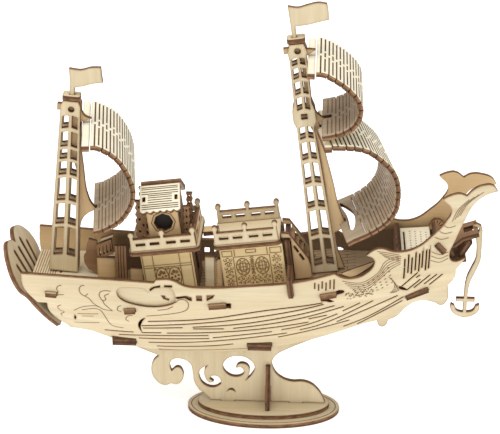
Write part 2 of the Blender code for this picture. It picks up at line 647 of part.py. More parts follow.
def mast(prefix, frame, outline, holes, core, head, pole):
    """Two lattice frames with a core plate between them, and a cap that the flag pole stands in."""
    for side, y in (("starboard", -FRAME_OFFSET), ("port", FRAME_OFFSET)):
        plate(f"{prefix}_mast_frame_{side}", [outline, *holes], "birch", (0, y, 0), SIDE_PLANE, frame)
    plate(f"{prefix}_mast_core", [core], "tan", (0, 0, 0), SIDE_PLANE, frame)
    middle, height = head
    slot = box_outline(pole[0] - middle - GAP, -PLY / 2 - GAP, pole[1] - middle + GAP, PLY / 2 + GAP)
    loops = [rounded_outline(CAP_HALF, 4.4, 1.8), slot]
    plate(f"{prefix}_mast_cap", loops, "burnt", (middle, 0, height + PLY / 2 + GAP), FLAT_PLANE, frame)


def aft_mast():
    frame = empty("aft_mast_frame", AFT_MAST_FOOT, -AFT_MAST_LEAN)
    height = AFT_MAST_HEIGHT

    def half_at(v):
        return 0.0, 9.3 - 3.5 * v / height

    outline = [(-9.3, 0), (9.3, 0), (6, height - 3), (4.6, height), (-4.6, height), (-6, height - 3)]
    rows = ((11, 31.2), (33.4, 47.8), (50.2, 66), (68.2, 77.2), (79.2, 85.6), (87.6, 97.6), (100.2, 108.4))
    holes = lattice_windows(rows, half_at) + [ring_outline((0.6, 113.4), 2.0, count=16)]
    core = [
        (6.4, 0), (8.4, 0), (8.2, 22), (8.8, 30, SMOOTH), (11, 38.5, SMOOTH), (14.2, 42.3), (18.6, 45.2),
        (14, 51.5, SMOOTH), (9.2, 74, SMOOTH), (6.8, 90), (6.2, 104.4), (12.8, 107.2),
        (8.6, 108.6, SMOOTH), (6.2, 112), (4.6, height), (-4.6, height), (-5.4, 115.2), (-8.6, 115.2),
        (-8.6, 111), (-5.4, 111),
        (-5.4, 110), (1.0, 106), (1.0, 84), (6.2, 68),
    ]
    pole = (-1.3, 1.5)
    mast("aft", frame, outline, holes, core, (0, height), pole)
    flag = [
        (pole[0], height + 2 * GAP), (pole[1], height + 2 * GAP), (1.7, 126.8), (7, 128.2, SMOOTH),
        (12, 130.2, SMOOTH), (18.6, 131.7), (17.6, 136.5, SMOOTH), (16.9, 141.3), (11, 140.6, SMOOTH),
        (5, 138.4, SMOOTH), (0, 138.4, SMOOTH), (-2.4, 138.6), (-1.3, 130),
    ]
    plate("aft_flag", [flag], "tan", (0, 0, 0), SIDE_PLANE, frame)


def fore_mast():
    frame = empty("fore_mast_frame", FORE_MAST_FOOT, -FORE_MAST_LEAN)
    height = FORE_MAST_HEIGHT

    def half_at(v):
        if v < 100:
            return -0.6 - 1.0 * v / 100, 8.3 - 3.1 * v / 100
        return -1.4 + 0.6 * (v - 100) / 50, 5.2

    outline = [
        (-8.9, 0), (7.8, 0), (5.6, 60), (3.6, 101), (5.6, 104.5), (5.4, 111.5), (3.9, 117), (4.3, 146),
        (5.0, 150), (3.4, height), (-5.0, height), (-6.6, 150), (-6.0, 145), (-6.6, 117.5), (-8.4, 112),
        (-8.4, 105), (-6.8, 101), (-7.4, 60),
    ]
    rows = ((5, 23.8), (26.4, 43.6), (46.2, 60.4), (63, 76.6), (79.4, 90.6), (93.4, 101), (112.6, 120.4),
            (122.8, 130.6), (133, 139.4), (141.6, 145.8))
    holes = lattice_windows(rows, half_at)
    holes += [ring_outline((-0.5, 150.8), 2.0, count=16), box_outline(-3.4, 106.6, 0.6, 110.2)]
    core = [
        (6.4, 0), (11.8, 0), (8.8, 14, SMOOTH), (8.2, 25.8), (16.2, 29.8), (12.9, 42.7, SMOOTH),
        (11, 61, SMOOTH), (8.6, 80, SMOOTH), (6.6, 102.4), (14, 103), (9, 105.4, SMOOTH),
        (4.8, 112, SMOOTH), (4.4, 146),
        (10.1, 149.2), (4.6, 150.4), (3, height), (-4.4, height), (-5.6, 152), (-9.1, 152), (-9.1, 148.6),
        (-5.6, 148.6), (-3, 148), (0.8, 146), (0.4, 112), (0.4, 102), (4.6, 92), (6.0, 60),
    ]
    pole = (-2.9, -0.4)
    mast("fore", frame, outline, holes, core, (-0.8, height), pole)
    flag = [
        (pole[0], height + 2 * GAP), (pole[1], height + 2 * GAP), (-0.2, 165.2), (7.3, 165.4, SMOOTH),
        (15.3, 166.5, SMOOTH), (20.1, 167), (20.3, 172.8, SMOOTH), (20, 176.8), (15.4, 178.1, SMOOTH),
        (8.8, 177.5, SMOOTH), (2.8, 176.5, SMOOTH), (-3.2, 178), (-2.9, 166),
    ]
    plate("fore_flag", [flag], "tan", (0, 0, 0), SIDE_PLANE, frame)


def sail(name, profile, half_width, frame):
    """A bent sheet: its section is a strip of the sheet's thickness behind the profile."""
    points = [Vector(p) for p in profile]
    outer, inner = [], []
    for i, point in enumerate(points):
        along = points[min(i + 1, len(points) - 1)] - points[max(i - 1, 0)]
        across = Vector((-along.y, along.x)).normalized() * PLY
        outer.append((*point, SMOOTH))
        inner.append((*(point - across), SMOOTH))
    outline = outer + inner[::-1]
    for end in (0, len(points) - 1, len(points), len(outline) - 1):
        outline[end] = outline[end][:2]
    return plate(name, [outline], "birch", (0, 0, 0), SIDE_PLANE, frame, 2 * half_width)


def yard(name, at, half_width, frame):
    outline = box_outline(-YARD_WIDTH / 2, -half_width, YARD_WIDTH / 2, half_width)
    return plate(name, [outline], "tan", (at[0], 0, at[1]), parent=frame, thickness=PLY + 0.6)


def sail_frame(name, x, yaw):
    """A sail's own frame, swung about the vertical so that a positive yaw takes its port edge aft."""
    frame = empty(name, (x, 0, 0), 0.0)
    frame.rotation_euler.z = math.radians(yaw)
    return frame


def sails():
    """Each sail hangs from a yard at its head, and is slotted where a mast bracket reaches its foot."""
    lip = PLY / 2 + GAP
    frame = sail_frame("aft_sail_frame", -95.0, 7.5)
    profile = [(-12.2, 208), (-7, 207.2), (2.5, 201.1), (9, 192.1), (12.8, 182.1), (13.7, 173.2),
               (11, 164.4), (4.6, 155.6), (-5.6, 149.3), (-12.4, 147.4)]
    obj = sail("aft_sail", profile, 34.5, frame)
    cut(obj, (-114, -lip, 140), (-106, lip, 157))
    yard("aft_yard", (-15.1, 206), 34.5, frame)
    frame = sail_frame("fore_sail_upper_frame", 45.0, 0.0)
    profile = [(-13.9, 255.2), (-7.5, 254.2), (3.6, 247.4), (11.4, 239.4), (14.3, 232), (13.2, 224.7),
               (8.8, 218.2), (1, 213.8), (-9.2, 211.4)]
    obj = sail("fore_sail_upper", profile, 29.5, frame)
    cut(obj, (30, -lip, 205), (41.2, lip, 218))
    yard("fore_yard_upper", (-16.9, 252.4), 29.5, frame)
    frame = sail_frame("fore_sail_lower_frame", 62.0, 10.0)
    profile = [(-25, 209.3), (-12.7, 208.2), (-4.5, 206.1), (1.3, 202.6), (7.4, 197.2), (12.3, 191.9),
               (15.5, 186), (17, 180.1), (17.5, 173.6), (17, 166.5), (15.4, 161.4), (12.6, 156.9),
               (9.2, 153.2), (3.4, 149), (-2.4, 146), (-8.3, 143.7), (-13.6, 140.9)]
    obj = sail("fore_sail_lower", profile, 27.5, frame)
    cut(obj, (44, -lip, 136), (52.9, lip, 150))
    obj = yard("fore_yard_lower", (-27.8, 206.8), 27.5, frame)
    cut(obj, (28, -FRAME_OFFSET - lip, 200), (33.0, FRAME_OFFSET + lip, 212))
    cut(obj, (28, -lip, 200), (34.8, lip, 212))


# Bow gear


def bow_gear(bow_frame, tie_frame):
    """The tie plate between the bows, the cathead with its strut, and the anchor on its front edge."""
    inner = BOW_HALF - PLY - 2 * GAP
    reach = half_breadth(TIE_ORIGIN[0]) + TAB_PROUD
    right = [(-TIE_TAB - 1, inner), (-TIE_TAB, inner), (-TIE_TAB, reach), (TIE_TAB, reach),
             (TIE_TAB, inner), (12.5, inner - 1.4)]
    outline = right + [(u, -y) for u, y in reversed(right)]
    plate("stem_tie", [outline], "burnt", (0, 0, 0), FLAT_PLANE, tie_frame)
    right = [(-18.5, inner), (-14, inner), (-9, 9), (1.3, 9)]
    outline = right + [(u, -y) for u, y in reversed(right)]
    window = box_outline(-7.5, -3.4, -1.3, 3.4)
    plate("cathead", [outline, window], "burnt", (0, 0, 0), FLAT_PLANE, bow_frame)
    strut = [(-9, 0), (9, 0), (9, 11), (3.6, 11), (3.6, 4), (-3.6, 4), (-3.6, 11), (-9, 11)]
    strut_frame = empty("strut_frame", (124.6, 0, 125.6), math.radians(-28))
    plate("cathead_strut", [strut], "burnt", (0, 0, 0), CROSS_PLANE, strut_frame)
    swing = empty("anchor_swing", ANCHOR_BAR, 0.0)
    plate("anchor", [anchor_outline()], "birch", (0, 0, 0), SIDE_PLANE, swing)


def arc(radius, degrees):
    return [(radius * math.cos(math.radians(a)), radius * math.sin(math.radians(a))) for a in degrees]


def anchor_outline():
    """A hook round the cathead's edge, a swan-necked shank, a stock and two flukes."""
    hook = arc(HOOK_INNER, (115, 70, 20, -30, -80, -130, -160)) + arc(HOOK_OUTER, (-160, -130, -95))
    shank_back = [(0.9, -8.8, SMOOTH), (1.6, -15.7, SMOOTH), (1.2, -21.6, SMOOTH), (-1.0, -27.6, SMOOTH),
                  (-3.6, -35.6, SMOOTH), (-4.4, -50)]
    fluke_back = [(-9.3, -50), (-9.3, -52.2), (-4.4, -52.2), (-4.4, -60.2), (-8.4, -59, SMOOTH),
                  (-10.2, -55.4), (-12.4, -54.2), (-12.6, -57.8, SMOOTH), (-9.2, -62, SMOOTH),
                  (-3.3, -64.2)]
    fluke_front = [(2.6, -62, SMOOTH), (6, -57.8, SMOOTH), (5.8, -54.2), (3.6, -55.4), (1.8, -59, SMOOTH),
                   (-2.2, -60.2), (-2.2, -52.2), (2.7, -52.2), (2.7, -50), (-2.2, -50)]
    shank_front = [(-1.4, -38.8, SMOOTH), (1.7, -29.7, SMOOTH), (4.4, -21, SMOOTH), (4.5, -15, SMOOTH),
                   (4.4, -9, SMOOTH)]
    front = arc(HOOK_OUTER, (0, 40, 80, 115))
    return hook + shank_back + fluke_back + fluke_front + shank_front + front


clear_scene()
SHIP = new_collection("wooden_ship_puzzle")
CUTTERS = new_collection("cutters")
DECK_FRAME = empty("deck_frame", DECK_ORIGIN, DECK_PITCH)
POOP_FRAME = empty("poop_frame", POOP_ORIGIN, POOP_PITCH)
BOW_FRAME = empty("bow_frame", ANCHOR_BAR, CATHEAD_PITCH)
TIE_FRAME = empty("tie_frame", TIE_ORIGIN, TIE_PITCH)
FLOOR_BOARDS = floor_boards()

stand()
keel_scroll_plate()
hull_sides(DECK_FRAME, POOP_FRAME, TIE_FRAME)
transom()
floors()
decks(DECK_FRAME, POOP_FRAME)
TOWER_FLOOR = aft_cabin(DECK_FRAME)
tower(DECK_FRAME, TOWER_FLOOR)
fore_cabin(DECK_FRAME)
bridge(DECK_FRAME)
stair()
aft_mast()
fore_mast()
sails()
bow_gear(BOW_FRAME, TIE_FRAME)
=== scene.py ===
"""The looks of a laser-cut plywood ship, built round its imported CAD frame.

Outlines, cuts and engravings are in millimetres. Flat plates are cut again from the frame's own outlines,
with engraved lines, and the hull sides and sails are bent sheets with rows of slits.
"""

import json
import math
import random

import bmesh
import bpy
from mathutils import Matrix, Vector
from mathutils.geometry import delaunay_2d_cdt

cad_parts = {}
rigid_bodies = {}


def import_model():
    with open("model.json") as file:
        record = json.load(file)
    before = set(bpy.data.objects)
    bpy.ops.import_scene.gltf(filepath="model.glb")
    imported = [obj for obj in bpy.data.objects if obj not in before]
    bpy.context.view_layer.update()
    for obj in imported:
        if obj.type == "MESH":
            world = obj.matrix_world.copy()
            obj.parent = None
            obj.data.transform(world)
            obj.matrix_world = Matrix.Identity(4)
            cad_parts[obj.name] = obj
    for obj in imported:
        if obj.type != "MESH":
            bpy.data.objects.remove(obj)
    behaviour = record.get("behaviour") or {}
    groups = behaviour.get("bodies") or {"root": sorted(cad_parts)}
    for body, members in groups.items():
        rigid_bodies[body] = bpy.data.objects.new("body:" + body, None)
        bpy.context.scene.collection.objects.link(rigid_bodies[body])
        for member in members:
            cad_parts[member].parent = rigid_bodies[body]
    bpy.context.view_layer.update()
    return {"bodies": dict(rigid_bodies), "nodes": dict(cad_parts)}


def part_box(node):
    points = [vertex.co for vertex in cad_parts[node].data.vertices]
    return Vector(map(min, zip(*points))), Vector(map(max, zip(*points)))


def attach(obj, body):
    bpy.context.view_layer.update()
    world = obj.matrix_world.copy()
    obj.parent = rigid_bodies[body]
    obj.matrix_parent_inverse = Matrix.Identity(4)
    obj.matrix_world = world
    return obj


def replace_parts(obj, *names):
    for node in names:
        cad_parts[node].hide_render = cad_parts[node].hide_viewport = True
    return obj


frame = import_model()
NODES = frame["nodes"]
SHIP = next(body for body in frame["bodies"] if body != "anchor")
RNG = random.Random(11)

MM = 0.001
PLY = 3.0
ENGRAVED = 0.35
POCKET = 1.8
LINE = 0.42
FINE = 0.3
SEAM = 0.32
SLIT = 0.85

SHARP_ANGLE = math.radians(32)

# Material slots of every plate. Only the sails and the port side have the last one, a copy in painted shade
# for their back faces.
FACE, EDGE, GROOVE, INNER = range(4)

# Levels of a sheet, from its good face down to its back.
PLAIN, CARVED, SUNK, SUNK_CARVED, BACK = range(5)


# Materials

TOASTED = (0.33, 0.17, 0.07)
TOAST_REACH = 0.0011
BIRCH = ((0.71, 0.61, 0.415), (0.615, 0.50, 0.31))
BROWN_EDGE = ((0.30, 0.155, 0.070), (0.15, 0.070, 0.032))
DARK_EDGE = ((0.24, 0.12, 0.055), (0.11, 0.05, 0.025))
BROWN_GROOVE = (0.22, 0.12, 0.055)


class Shader:
    """A short way to write node trees."""

    def __init__(self, name):
        self.material = bpy.data.materials.new(name)
        self.material.use_nodes = True
        self.tree = self.material.node_tree
        self.tree.nodes.clear()

    def node(self, kind, inputs=(), **settings):
        node = self.tree.nodes.new(kind)
        for key, value in settings.items():
            setattr(node, key, value)
        for key, value in dict(inputs).items():
            self.put(node, key, value)
        return node

    def put(self, node, key, value):
        socket = node.inputs[key]
        if isinstance(value, bpy.types.NodeSocket):
            self.tree.links.new(value, socket)
        elif isinstance(value, tuple) and len(value) == 3 and socket.type == "RGBA":
            socket.default_value = (*value, 1.0)
        else:
            socket.default_value = value

    def mix(self, factor, first, second):
        node = self.node("ShaderNodeMix", data_type="RGBA")
        self.put(node, 0, factor)
        self.put(node, 6, first)
        self.put(node, 7, second)
        return node.outputs[2]

    def scaled(self, coords, scale):
        return self.node("ShaderNodeMapping", {"Vector": coords, "Scale": scale}).outputs[0]

    def noise(self, coords, scale, detail=3.0, rough=0.5):
        inputs = {"Vector": coords, "Scale": scale, "Detail": detail, "Roughness": rough}
        return self.node("ShaderNodeTexNoise", inputs).outputs[0]

    def ramp(self, value, low, high, to_low=0.0, to_high=1.0):
        inputs = {"Value": value, "From Min": low, "From Max": high, "To Min": to_low, "To Max": to_high}
        return self.node("ShaderNodeMapRange", inputs).outputs[0]

    def finish(self, colour, roughness, bump=None, strength=0.1, glow=0.0):
        surface = self.node("ShaderNodeBsdfPrincipled", {"Base Color": colour, "Roughness": roughness})
        self.put(surface, "Emission Color", (1.0, 1.0, 1.0))
        self.put(surface, "Emission Strength", glow)
        self.put(surface, "Specular IOR Level", 0.25)
        if bump is not None:
            normal = self.node("ShaderNodeBump", {"Strength": strength, "Distance": 0.0002, "Height": bump})
            self.put(surface, "Normal", normal.outputs[0])
        output = self.node("ShaderNodeOutputMaterial")
        self.tree.links.new(surface.outputs[0], output.inputs[0])
        return self.material


def face_material(name, light, dark, burn):
    """Bare wood: soft bands and fine fibres along the grain, and toasted wood beside every cut."""
    s = Shader(name)
    grain = s.node("ShaderNodeAttribute", attribute_name="grain").outputs["Vector"]
    bands = s.noise(s.scaled(grain, (0.012, 0.16, 0.16)), 1.0, 4.0, 0.55)
    fibres = s.noise(s.scaled(grain, (0.05, 2.6, 2.6)), 1.0, 3.0, 0.6)
    cloud = s.noise(s.scaled(grain, (0.03, 0.05, 0.05)), 1.0, 2.0)
    flecks = s.noise(s.scaled(grain, (0.35, 3.4, 3.4)), 1.0, 1.0)
    colour = s.mix(s.ramp(bands, 0.35, 0.68), light, dark)
    colour = s.mix(s.ramp(fibres, 0.45, 0.75, 0.0, 0.42), colour, tuple(c * 0.80 for c in dark))
    colour = s.mix(s.ramp(cloud, 0.4, 0.75, 0.0, 0.25), colour, (light[0], light[1] * 0.90, light[2] * 0.76))
    colour = s.mix(s.ramp(flecks, 0.70, 0.80, 0.0, 0.35), colour, tuple(c * 0.6 for c in dark))
    beside = s.node("ShaderNodeAmbientOcclusion", {"Distance": TOAST_REACH},
                    samples=6, inside=True, only_local=True)
    toast = s.ramp(beside.outputs["AO"], 1.0, 0.55, 0.0, burn)
    colour = s.mix(toast, colour, TOASTED)
    return s.finish(colour, s.ramp(fibres, 0.2, 0.8, 0.52, 0.68), fibres, 0.16)


def edge_material(name, light, dark):
    """A burnt cut edge with the sheet's layers, sooty in patches."""
    s = Shader(name)
    grain = s.node("ShaderNodeAttribute", attribute_name="grain").outputs["Vector"]
    depth = s.node("ShaderNodeSeparateXYZ", {"Vector": grain}).outputs[2]
    layer = s.node("ShaderNodeMath", {0: depth, 1: 2.1}, operation="MULTIPLY")
    wave = s.node("ShaderNodeMath", {0: layer.outputs[0]}, operation="SINE").outputs[0]
    soot_and_shade = s.noise(s.scaled(grain, (0.22, 0.22, 0.5)), 1.0, 3.0)
    fine = s.noise(s.scaled(grain, (1.6, 1.6, 3.0)), 1.0, 2.0)
    colour = s.mix(s.ramp(wave, -0.4, 0.9), dark, light)
    colour = s.mix(s.ramp(soot_and_shade, 0.38, 0.68, 0.0, 0.75), colour, tuple(c * 0.45 for c in dark))
    colour = s.mix(s.ramp(fine, 0.4, 0.8, 0.0, 0.35), colour, tuple(c * 0.55 for c in light))
    return s.finish(colour, 0.78, fine, 0.25)


def inboard_shade_material():
    """The port side as seen inboard, all painted shade: a darker golden copy of the birch along the top, and
    a painted shadow that darkens it down towards the deck.
    """
    s = Shader("inboard_painted_shade")
    grain = s.node("ShaderNodeAttribute", attribute_name="grain").outputs["Vector"]
    fibres = s.noise(s.scaled(grain, (0.05, 2.6, 2.6)), 1.0, 3.0, 0.6)
    place = s.node("ShaderNodeNewGeometry").outputs["Position"]
    spot = s.node("ShaderNodeSeparateXYZ", {"Vector": place})
    ahead = s.ramp(spot.outputs[0], 0.0, 0.11, 0.0, 0.020)
    height = s.node("ShaderNodeMath", {0: spot.outputs[2], 1: ahead}, operation="SUBTRACT").outputs[0]
    # Painted shadow of the sails and cabins: the low part of the inboard face turns dark brown, except right
    # aft.
    low = s.ramp(height, 0.121, 0.112)
    amidships = s.ramp(spot.outputs[0], -0.112, -0.098)
    shade = s.node("ShaderNodeMath", {0: low, 1: amidships}, operation="MULTIPLY").outputs[0]
    colour = s.mix(s.ramp(fibres, 0.4, 0.75, 0.0, 0.4), (0.70, 0.50, 0.27), (0.52, 0.35, 0.17))
    return s.finish(s.mix(shade, colour, (0.20, 0.13, 0.075)), 0.6, fibres, 0.16)


def groove_material(name, colour):
    """Scorched wood in an engraved line."""
    s = Shader(name)
    grain = s.node("ShaderNodeAttribute", attribute_name="grain").outputs["Vector"]
    soot_and_shade = s.noise(s.scaled(grain, (0.3, 0.3, 0.3)), 1.0, 2.0)
    return s.finish(s.mix(s.ramp(soot_and_shade, 0.35, 0.7), colour, tuple(c * 0.5 for c in colour)), 0.85)


def finishes(name, face, burn, edge, groove):
    """A look's three materials. The face and the burnt edge each have a light and a dark colour."""
    return (
        face_material(f"{name}_face", *face, burn),
        edge_material(f"{name}_edge", *edge),
        groove_material(f"{name}_groove", groove),
    )


LOOKS = {
    "birch": finishes("birch", BIRCH, 0.55, BROWN_EDGE, BROWN_GROOVE),
    "pale": (
        *finishes("pale", ((0.93, 0.88, 0.70), (0.86, 0.78, 0.58)), 0.35,
                  ((0.36, 0.20, 0.095), (0.15, 0.070, 0.032)), (0.10, 0.055, 0.030)),
        # The back faces of the sails: a darker copy of the pale face, as painted shade.
        face_material("pale_back_shaded", (0.52, 0.43, 0.31), (0.40, 0.31, 0.20), 0.6),
    ),
    # The port side: birch outside, and an inboard face in painted shade.
    "birch_shaded_inboard": (
        *finishes("birch_shaded_inboard", BIRCH, 0.55, BROWN_EDGE, BROWN_GROOVE),
        inboard_shade_material(),
    ),
    "carved": finishes("carved", ((0.86, 0.69, 0.38), (0.77, 0.58, 0.29)), 0.4,
                       DARK_EDGE, (0.36, 0.19, 0.060)),
    # A darker, more golden copy of the birch: painted shade for plates that face away from the light or lie
    # in shadow.
    "tan": finishes("tan", ((0.70, 0.52, 0.29), (0.60, 0.41, 0.21)), 0.6,
                    DARK_EDGE, (0.15, 0.07, 0.03)),
    # Near black: painted shade for the dark inside of the tower, seen through its windows.
    "soot_and_shade": finishes("soot_and_shade", ((0.05, 0.042, 0.035), (0.03, 0.026, 0.022)), 0.0,
                     ((0.05, 0.035, 0.025), (0.03, 0.02, 0.015)), (0.02, 0.015, 0.01)),
    # A dark brown deck: painted shade for the main deck under the cabins and sails.
    "hold": finishes("hold", ((0.42, 0.30, 0.175), (0.32, 0.22, 0.125)), 0.6,
                     BROWN_EDGE, (0.10, 0.05, 0.025)),
    # Dark brown faces: partly scorched ply and partly painted shade, for plates that lie in shadow.
    "burnt": finishes("burnt", ((0.33, 0.19, 0.10), (0.22, 0.12, 0.06)), 0.7,
                      ((0.22, 0.11, 0.05), (0.09, 0.042, 0.022)), (0.08, 0.04, 0.02)),
}


# Outlines


def smooth(points, closed=False, step=4):
    """A Catmull-Rom curve through the points."""
    places = [Vector(p) for p in points]
    count = len(places)
    spans = count if closed else count - 1

    def at(i):
        return places[i % count] if closed else places[min(max(i, 0), count - 1)]

    curve = []
    for i in range(spans):
        a, b, c, d = at(i - 1), at(i), at(i + 1), at(i + 2)
        for j in range(step):
            t = j / step
            curve.append(0.5 * (2 * b + (c - a) * t + (2 * a - 5 * b + 4 * c - d) * t * t
                                + (3 * b - a - 3 * c + d) * t * t * t))
    if not closed:
        curve.append(places[-1])
    return [tuple(p) for p in curve]


def stroke(points, width=LINE, taper=False):
    """A closed outline round a line, pointed at its ends if it tapers."""
    places = [Vector(p) for p in points]
    left, right = [], []
    last = len(places) - 1
    for i, place in enumerate(places):
        along = (places[min(i + 1, last)] - places[max(i - 1, 0)]).normalized()
        half = width / 2
        if taper:
            half *= 0.25 + 0.75 * math.sin(math.pi * (i + 0.3) / (last + 0.6))
        across = Vector((-along.y, along.x)) * half
        left.append(tuple(place + across))
        right.append(tuple(place - across))
    return left + right[::-1]


def line(*points, width=LINE):
    return stroke(smooth(points) if len(points) > 2 else points, width)


def rect(low_u, low_v, high_u, high_v):
    return [(low_u, low_v), (high_u, low_v), (high_u, high_v), (low_u, high_v)]


def frame_lines(low_u, low_v, high_u, high_v):
    """The four engraved sides of a rectangle, as strokes that meet at the corners."""
    half = LINE / 2
    return [
        rect(low_u - half, low_v - half, high_u + half, low_v + half),
        rect(low_u - half, high_v - half, high_u + half, high_v + half),
        rect(low_u - half, low_v - half, low_u + half, high_v + half),
        rect(high_u - half, low_v - half, high_u + half, high_v + half),
    ]


def ellipse(centre, radius_u, radius_v=None, count=16, turn=0.0):
    radius_v = radius_u if radius_v is None else radius_v
    points = []
    for i in range(count):
        a = math.tau * i / count
        u, v = radius_u * math.cos(a), radius_v * math.sin(a)
        points.append((centre[0] + u * math.cos(turn) - v * math.sin(turn),
                       centre[1] + u * math.sin(turn) + v * math.cos(turn)))
    return points


def ring_lines(centre, radius_u, radius_v, width, count=20):
    """An engraved ring, as two half strokes."""
    halves = []
    for start in (0.0, math.pi):
        arc = [(centre[0] + radius_u * math.cos(start + math.pi * i / count),
                centre[1] + radius_v * math.sin(start + math.pi * i / count)) for i in range(count + 1)]
        halves.append(stroke(arc, width))
    return halves


def scroll(centre, radius, turns, start, hand, width):
    """An engraved spiral that winds out from its centre."""
    count = max(int(16 * turns), 8)
    points = []
    for i in range(count + 1):
        t = i / count
        a = start + hand * math.tau * turns * t
        r = radius * (0.22 + 0.78 * t)
        points.append((centre[0] + r * math.cos(a), centre[1] + r * math.sin(a)))
    return stroke(points, width, taper=True)


def rosette(centre, radius_u, radius_v, petals, start):
    """A carved flower in a ring: pointed petals round a bud."""
    cuts = []
    for i in range(petals):
        a = start + math.tau * i / petals
        out = Vector((math.cos(a) * radius_u, math.sin(a) * radius_v))
        side = Vector((-out.y, out.x)) * 0.22
        root = Vector(centre) + out * 0.32
        tip = Vector(centre) + out * 0.82
        middle = (root + tip) / 2
        cuts.append([tuple(root), tuple(middle + side), tuple(tip), tuple(middle - side)])
    cuts.append(ellipse(centre, radius_u * 0.16, radius_v * 0.16, 8))
    return cuts


# Sheets


def inside(point, loop):
    x, y = point
    odd = False
    j = len(loop) - 1
    for i in range(len(loop)):
        xi, yi = loop[i]
        xj, yj = loop[j]
        if (yi > y) != (yj > y) and x < (xj - xi) * (y - yi) / (yj - yi) + xi:
            odd = not odd
        j = i
    return odd


class Region:
    """Loops with boxes round them, for fast tests of which loops hold a point."""

    def __init__(self, loops):
        self.items = []
        for loop in loops:
            us = [p[0] for p in loop]
            vs = [p[1] for p in loop]
            self.items.append((min(us), min(vs), max(us), max(vs), loop))

    def count(self, point):
        u, v = point
        return sum(1 for a, b, c, d, loop in self.items if a < u < c and b < v < d and inside(point, loop))


def split_long(loop, longest):
    points = []
    for i, a in enumerate(loop):
        b = loop[(i + 1) % len(loop)]
        parts = max(math.ceil(math.dist(a, b) / longest), 1)
        points += [(a[0] + (b[0] - a[0]) * k / parts, a[1] + (b[1] - a[1]) * k / parts) for k in range(parts)]
    return points


def sheet_mesh(name, loops, place, thickness, cuts=(), grooves=(), pockets=(), grid=0.0, back=FACE):
    """One closed mesh: a sheet with its outline, cuts right through, engraved grooves and shallow pockets.

    place(u, v, depth) gives the point of the sheet at a depth below its good face. Each triangle of the good
    face is given a level, and walls join the levels where neighbours differ and at every free edge.
    """
    rings = [*loops, *cuts, *grooves, *pockets]
    if grid:
        rings = [split_long(ring, grid) for ring in rings]
    points, edges = [], []
    for ring in rings:
        start = len(points)
        points += [Vector(p[:2]) for p in ring]
        edges += [(start + i, start + (i + 1) % len(ring)) for i in range(len(ring))]
    if grid:
        low_u, high_u = min(p.x for p in points), max(p.x for p in points)
        low_v, high_v = min(p.y for p in points), max(p.y for p in points)
        for i in range(1, int((high_u - low_u) / grid)):
            for j in range(1, int((high_v - low_v) / grid)):
                points.append(Vector((low_u + i * grid, low_v + (j + 0.5 * (i % 2)) * grid)))
    spots, _, triangles, _, _, _ = delaunay_2d_cdt(points, edges, [], 0, 0.002)
    solid, holes, carved, sunk = Region(loops), Region(cuts), Region(grooves), Region(pockets)
    depths = {PLAIN: 0.0, CARVED: ENGRAVED, SUNK: POCKET, SUNK_CARVED: POCKET + ENGRAVED, BACK: thickness}
    faces = []
    for triangle in triangles:
        middle = sum((spots[i] for i in triangle), Vector((0, 0))) / len(triangle)
        if solid.count(middle) % 2 == 0 or holes.count(middle):
            continue
        level = SUNK if sunk.count(middle) else PLAIN
        if carved.count(middle):
            level += CARVED
        faces.append((triangle, level))
    levels_at = {}
    sides = {}
    for triangle, level in faces:
        for i, a in enumerate(triangle):
            b = triangle[(i + 1) % len(triangle)]
            levels_at.setdefault(a, {BACK}).add(level)
            sides.setdefault((min(a, b), max(a, b)), []).append(level)
    index, corners, grain = {}, [], []

    def corner(i, level):
        if (i, level) not in index:
            index[i, level] = len(corners)
            u, v = spots[i]
            corners.append(place(u, v, depths[level]))
            grain.append((u, v, depths[level]))
        return index[i, level]

    polygons, slots = [], []
    for triangle, level in faces:
        polygons.append([corner(i, level) for i in triangle])
        slots.append(GROOVE if level in (CARVED, SUNK_CARVED) else FACE)
        polygons.append([corner(i, BACK) for i in reversed(triangle)])
        slots.append(back)
    for (a, b), found in sides.items():
        top = min(found)
        low = max(found) if len(found) == 2 else BACK
        if top == low:
            continue
        down = [corner(a, k) for k in sorted(levels_at[a]) if top <= k <= low]
        up = [corner(b, k) for k in sorted(levels_at[b], reverse=True) if top <= k <= low]
        polygons.append(down + up)
        slots.append(GROOVE if low - top == CARVED and low < BACK else EDGE)
    mesh = bpy.data.meshes.new(name)
    mesh.from_pydata(corners, [], polygons)
    mesh.polygons.foreach_set("material_index", slots)
    shift = Vector((RNG.uniform(0, 500), RNG.uniform(0, 500), 0))
    layer = mesh.attributes.new("grain", "FLOAT_VECTOR", "POINT")
    for i, value in enumerate(grain):
        layer.data[i].vector = Vector(value) + shift
    body = bmesh.new()
    body.from_mesh(mesh)
    bmesh.ops.recalc_face_normals(body, faces=body.faces)
    body.to_mesh(mesh)
    body.free()
    return mesh


def add_piece(name, mesh, look, bend=False):
    """Puts a mesh in the scene as a piece of the ship. A bent sheet is smooth except at its cut edges."""
    obj = bpy.data.objects.new(name, mesh)
    bpy.context.scene.collection.objects.link(obj)
    for material in LOOKS[look]:
        mesh.materials.append(material)
    if bend:
        mesh.polygons.foreach_set("use_smooth", [True] * len(mesh.polygons))
        mesh.set_sharp_from_angle(angle=SHARP_ANGLE)
    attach(obj, SHIP)
    return obj


def basis(origin, along, up, out):
    """Maps (u, v, w) in millimetres to the world in metres."""
    matrix = Matrix((along, up, out)).transposed().to_4x4()
    return Matrix.Translation(Vector(origin) * MM) @ matrix @ Matrix.Scale(MM, 4)


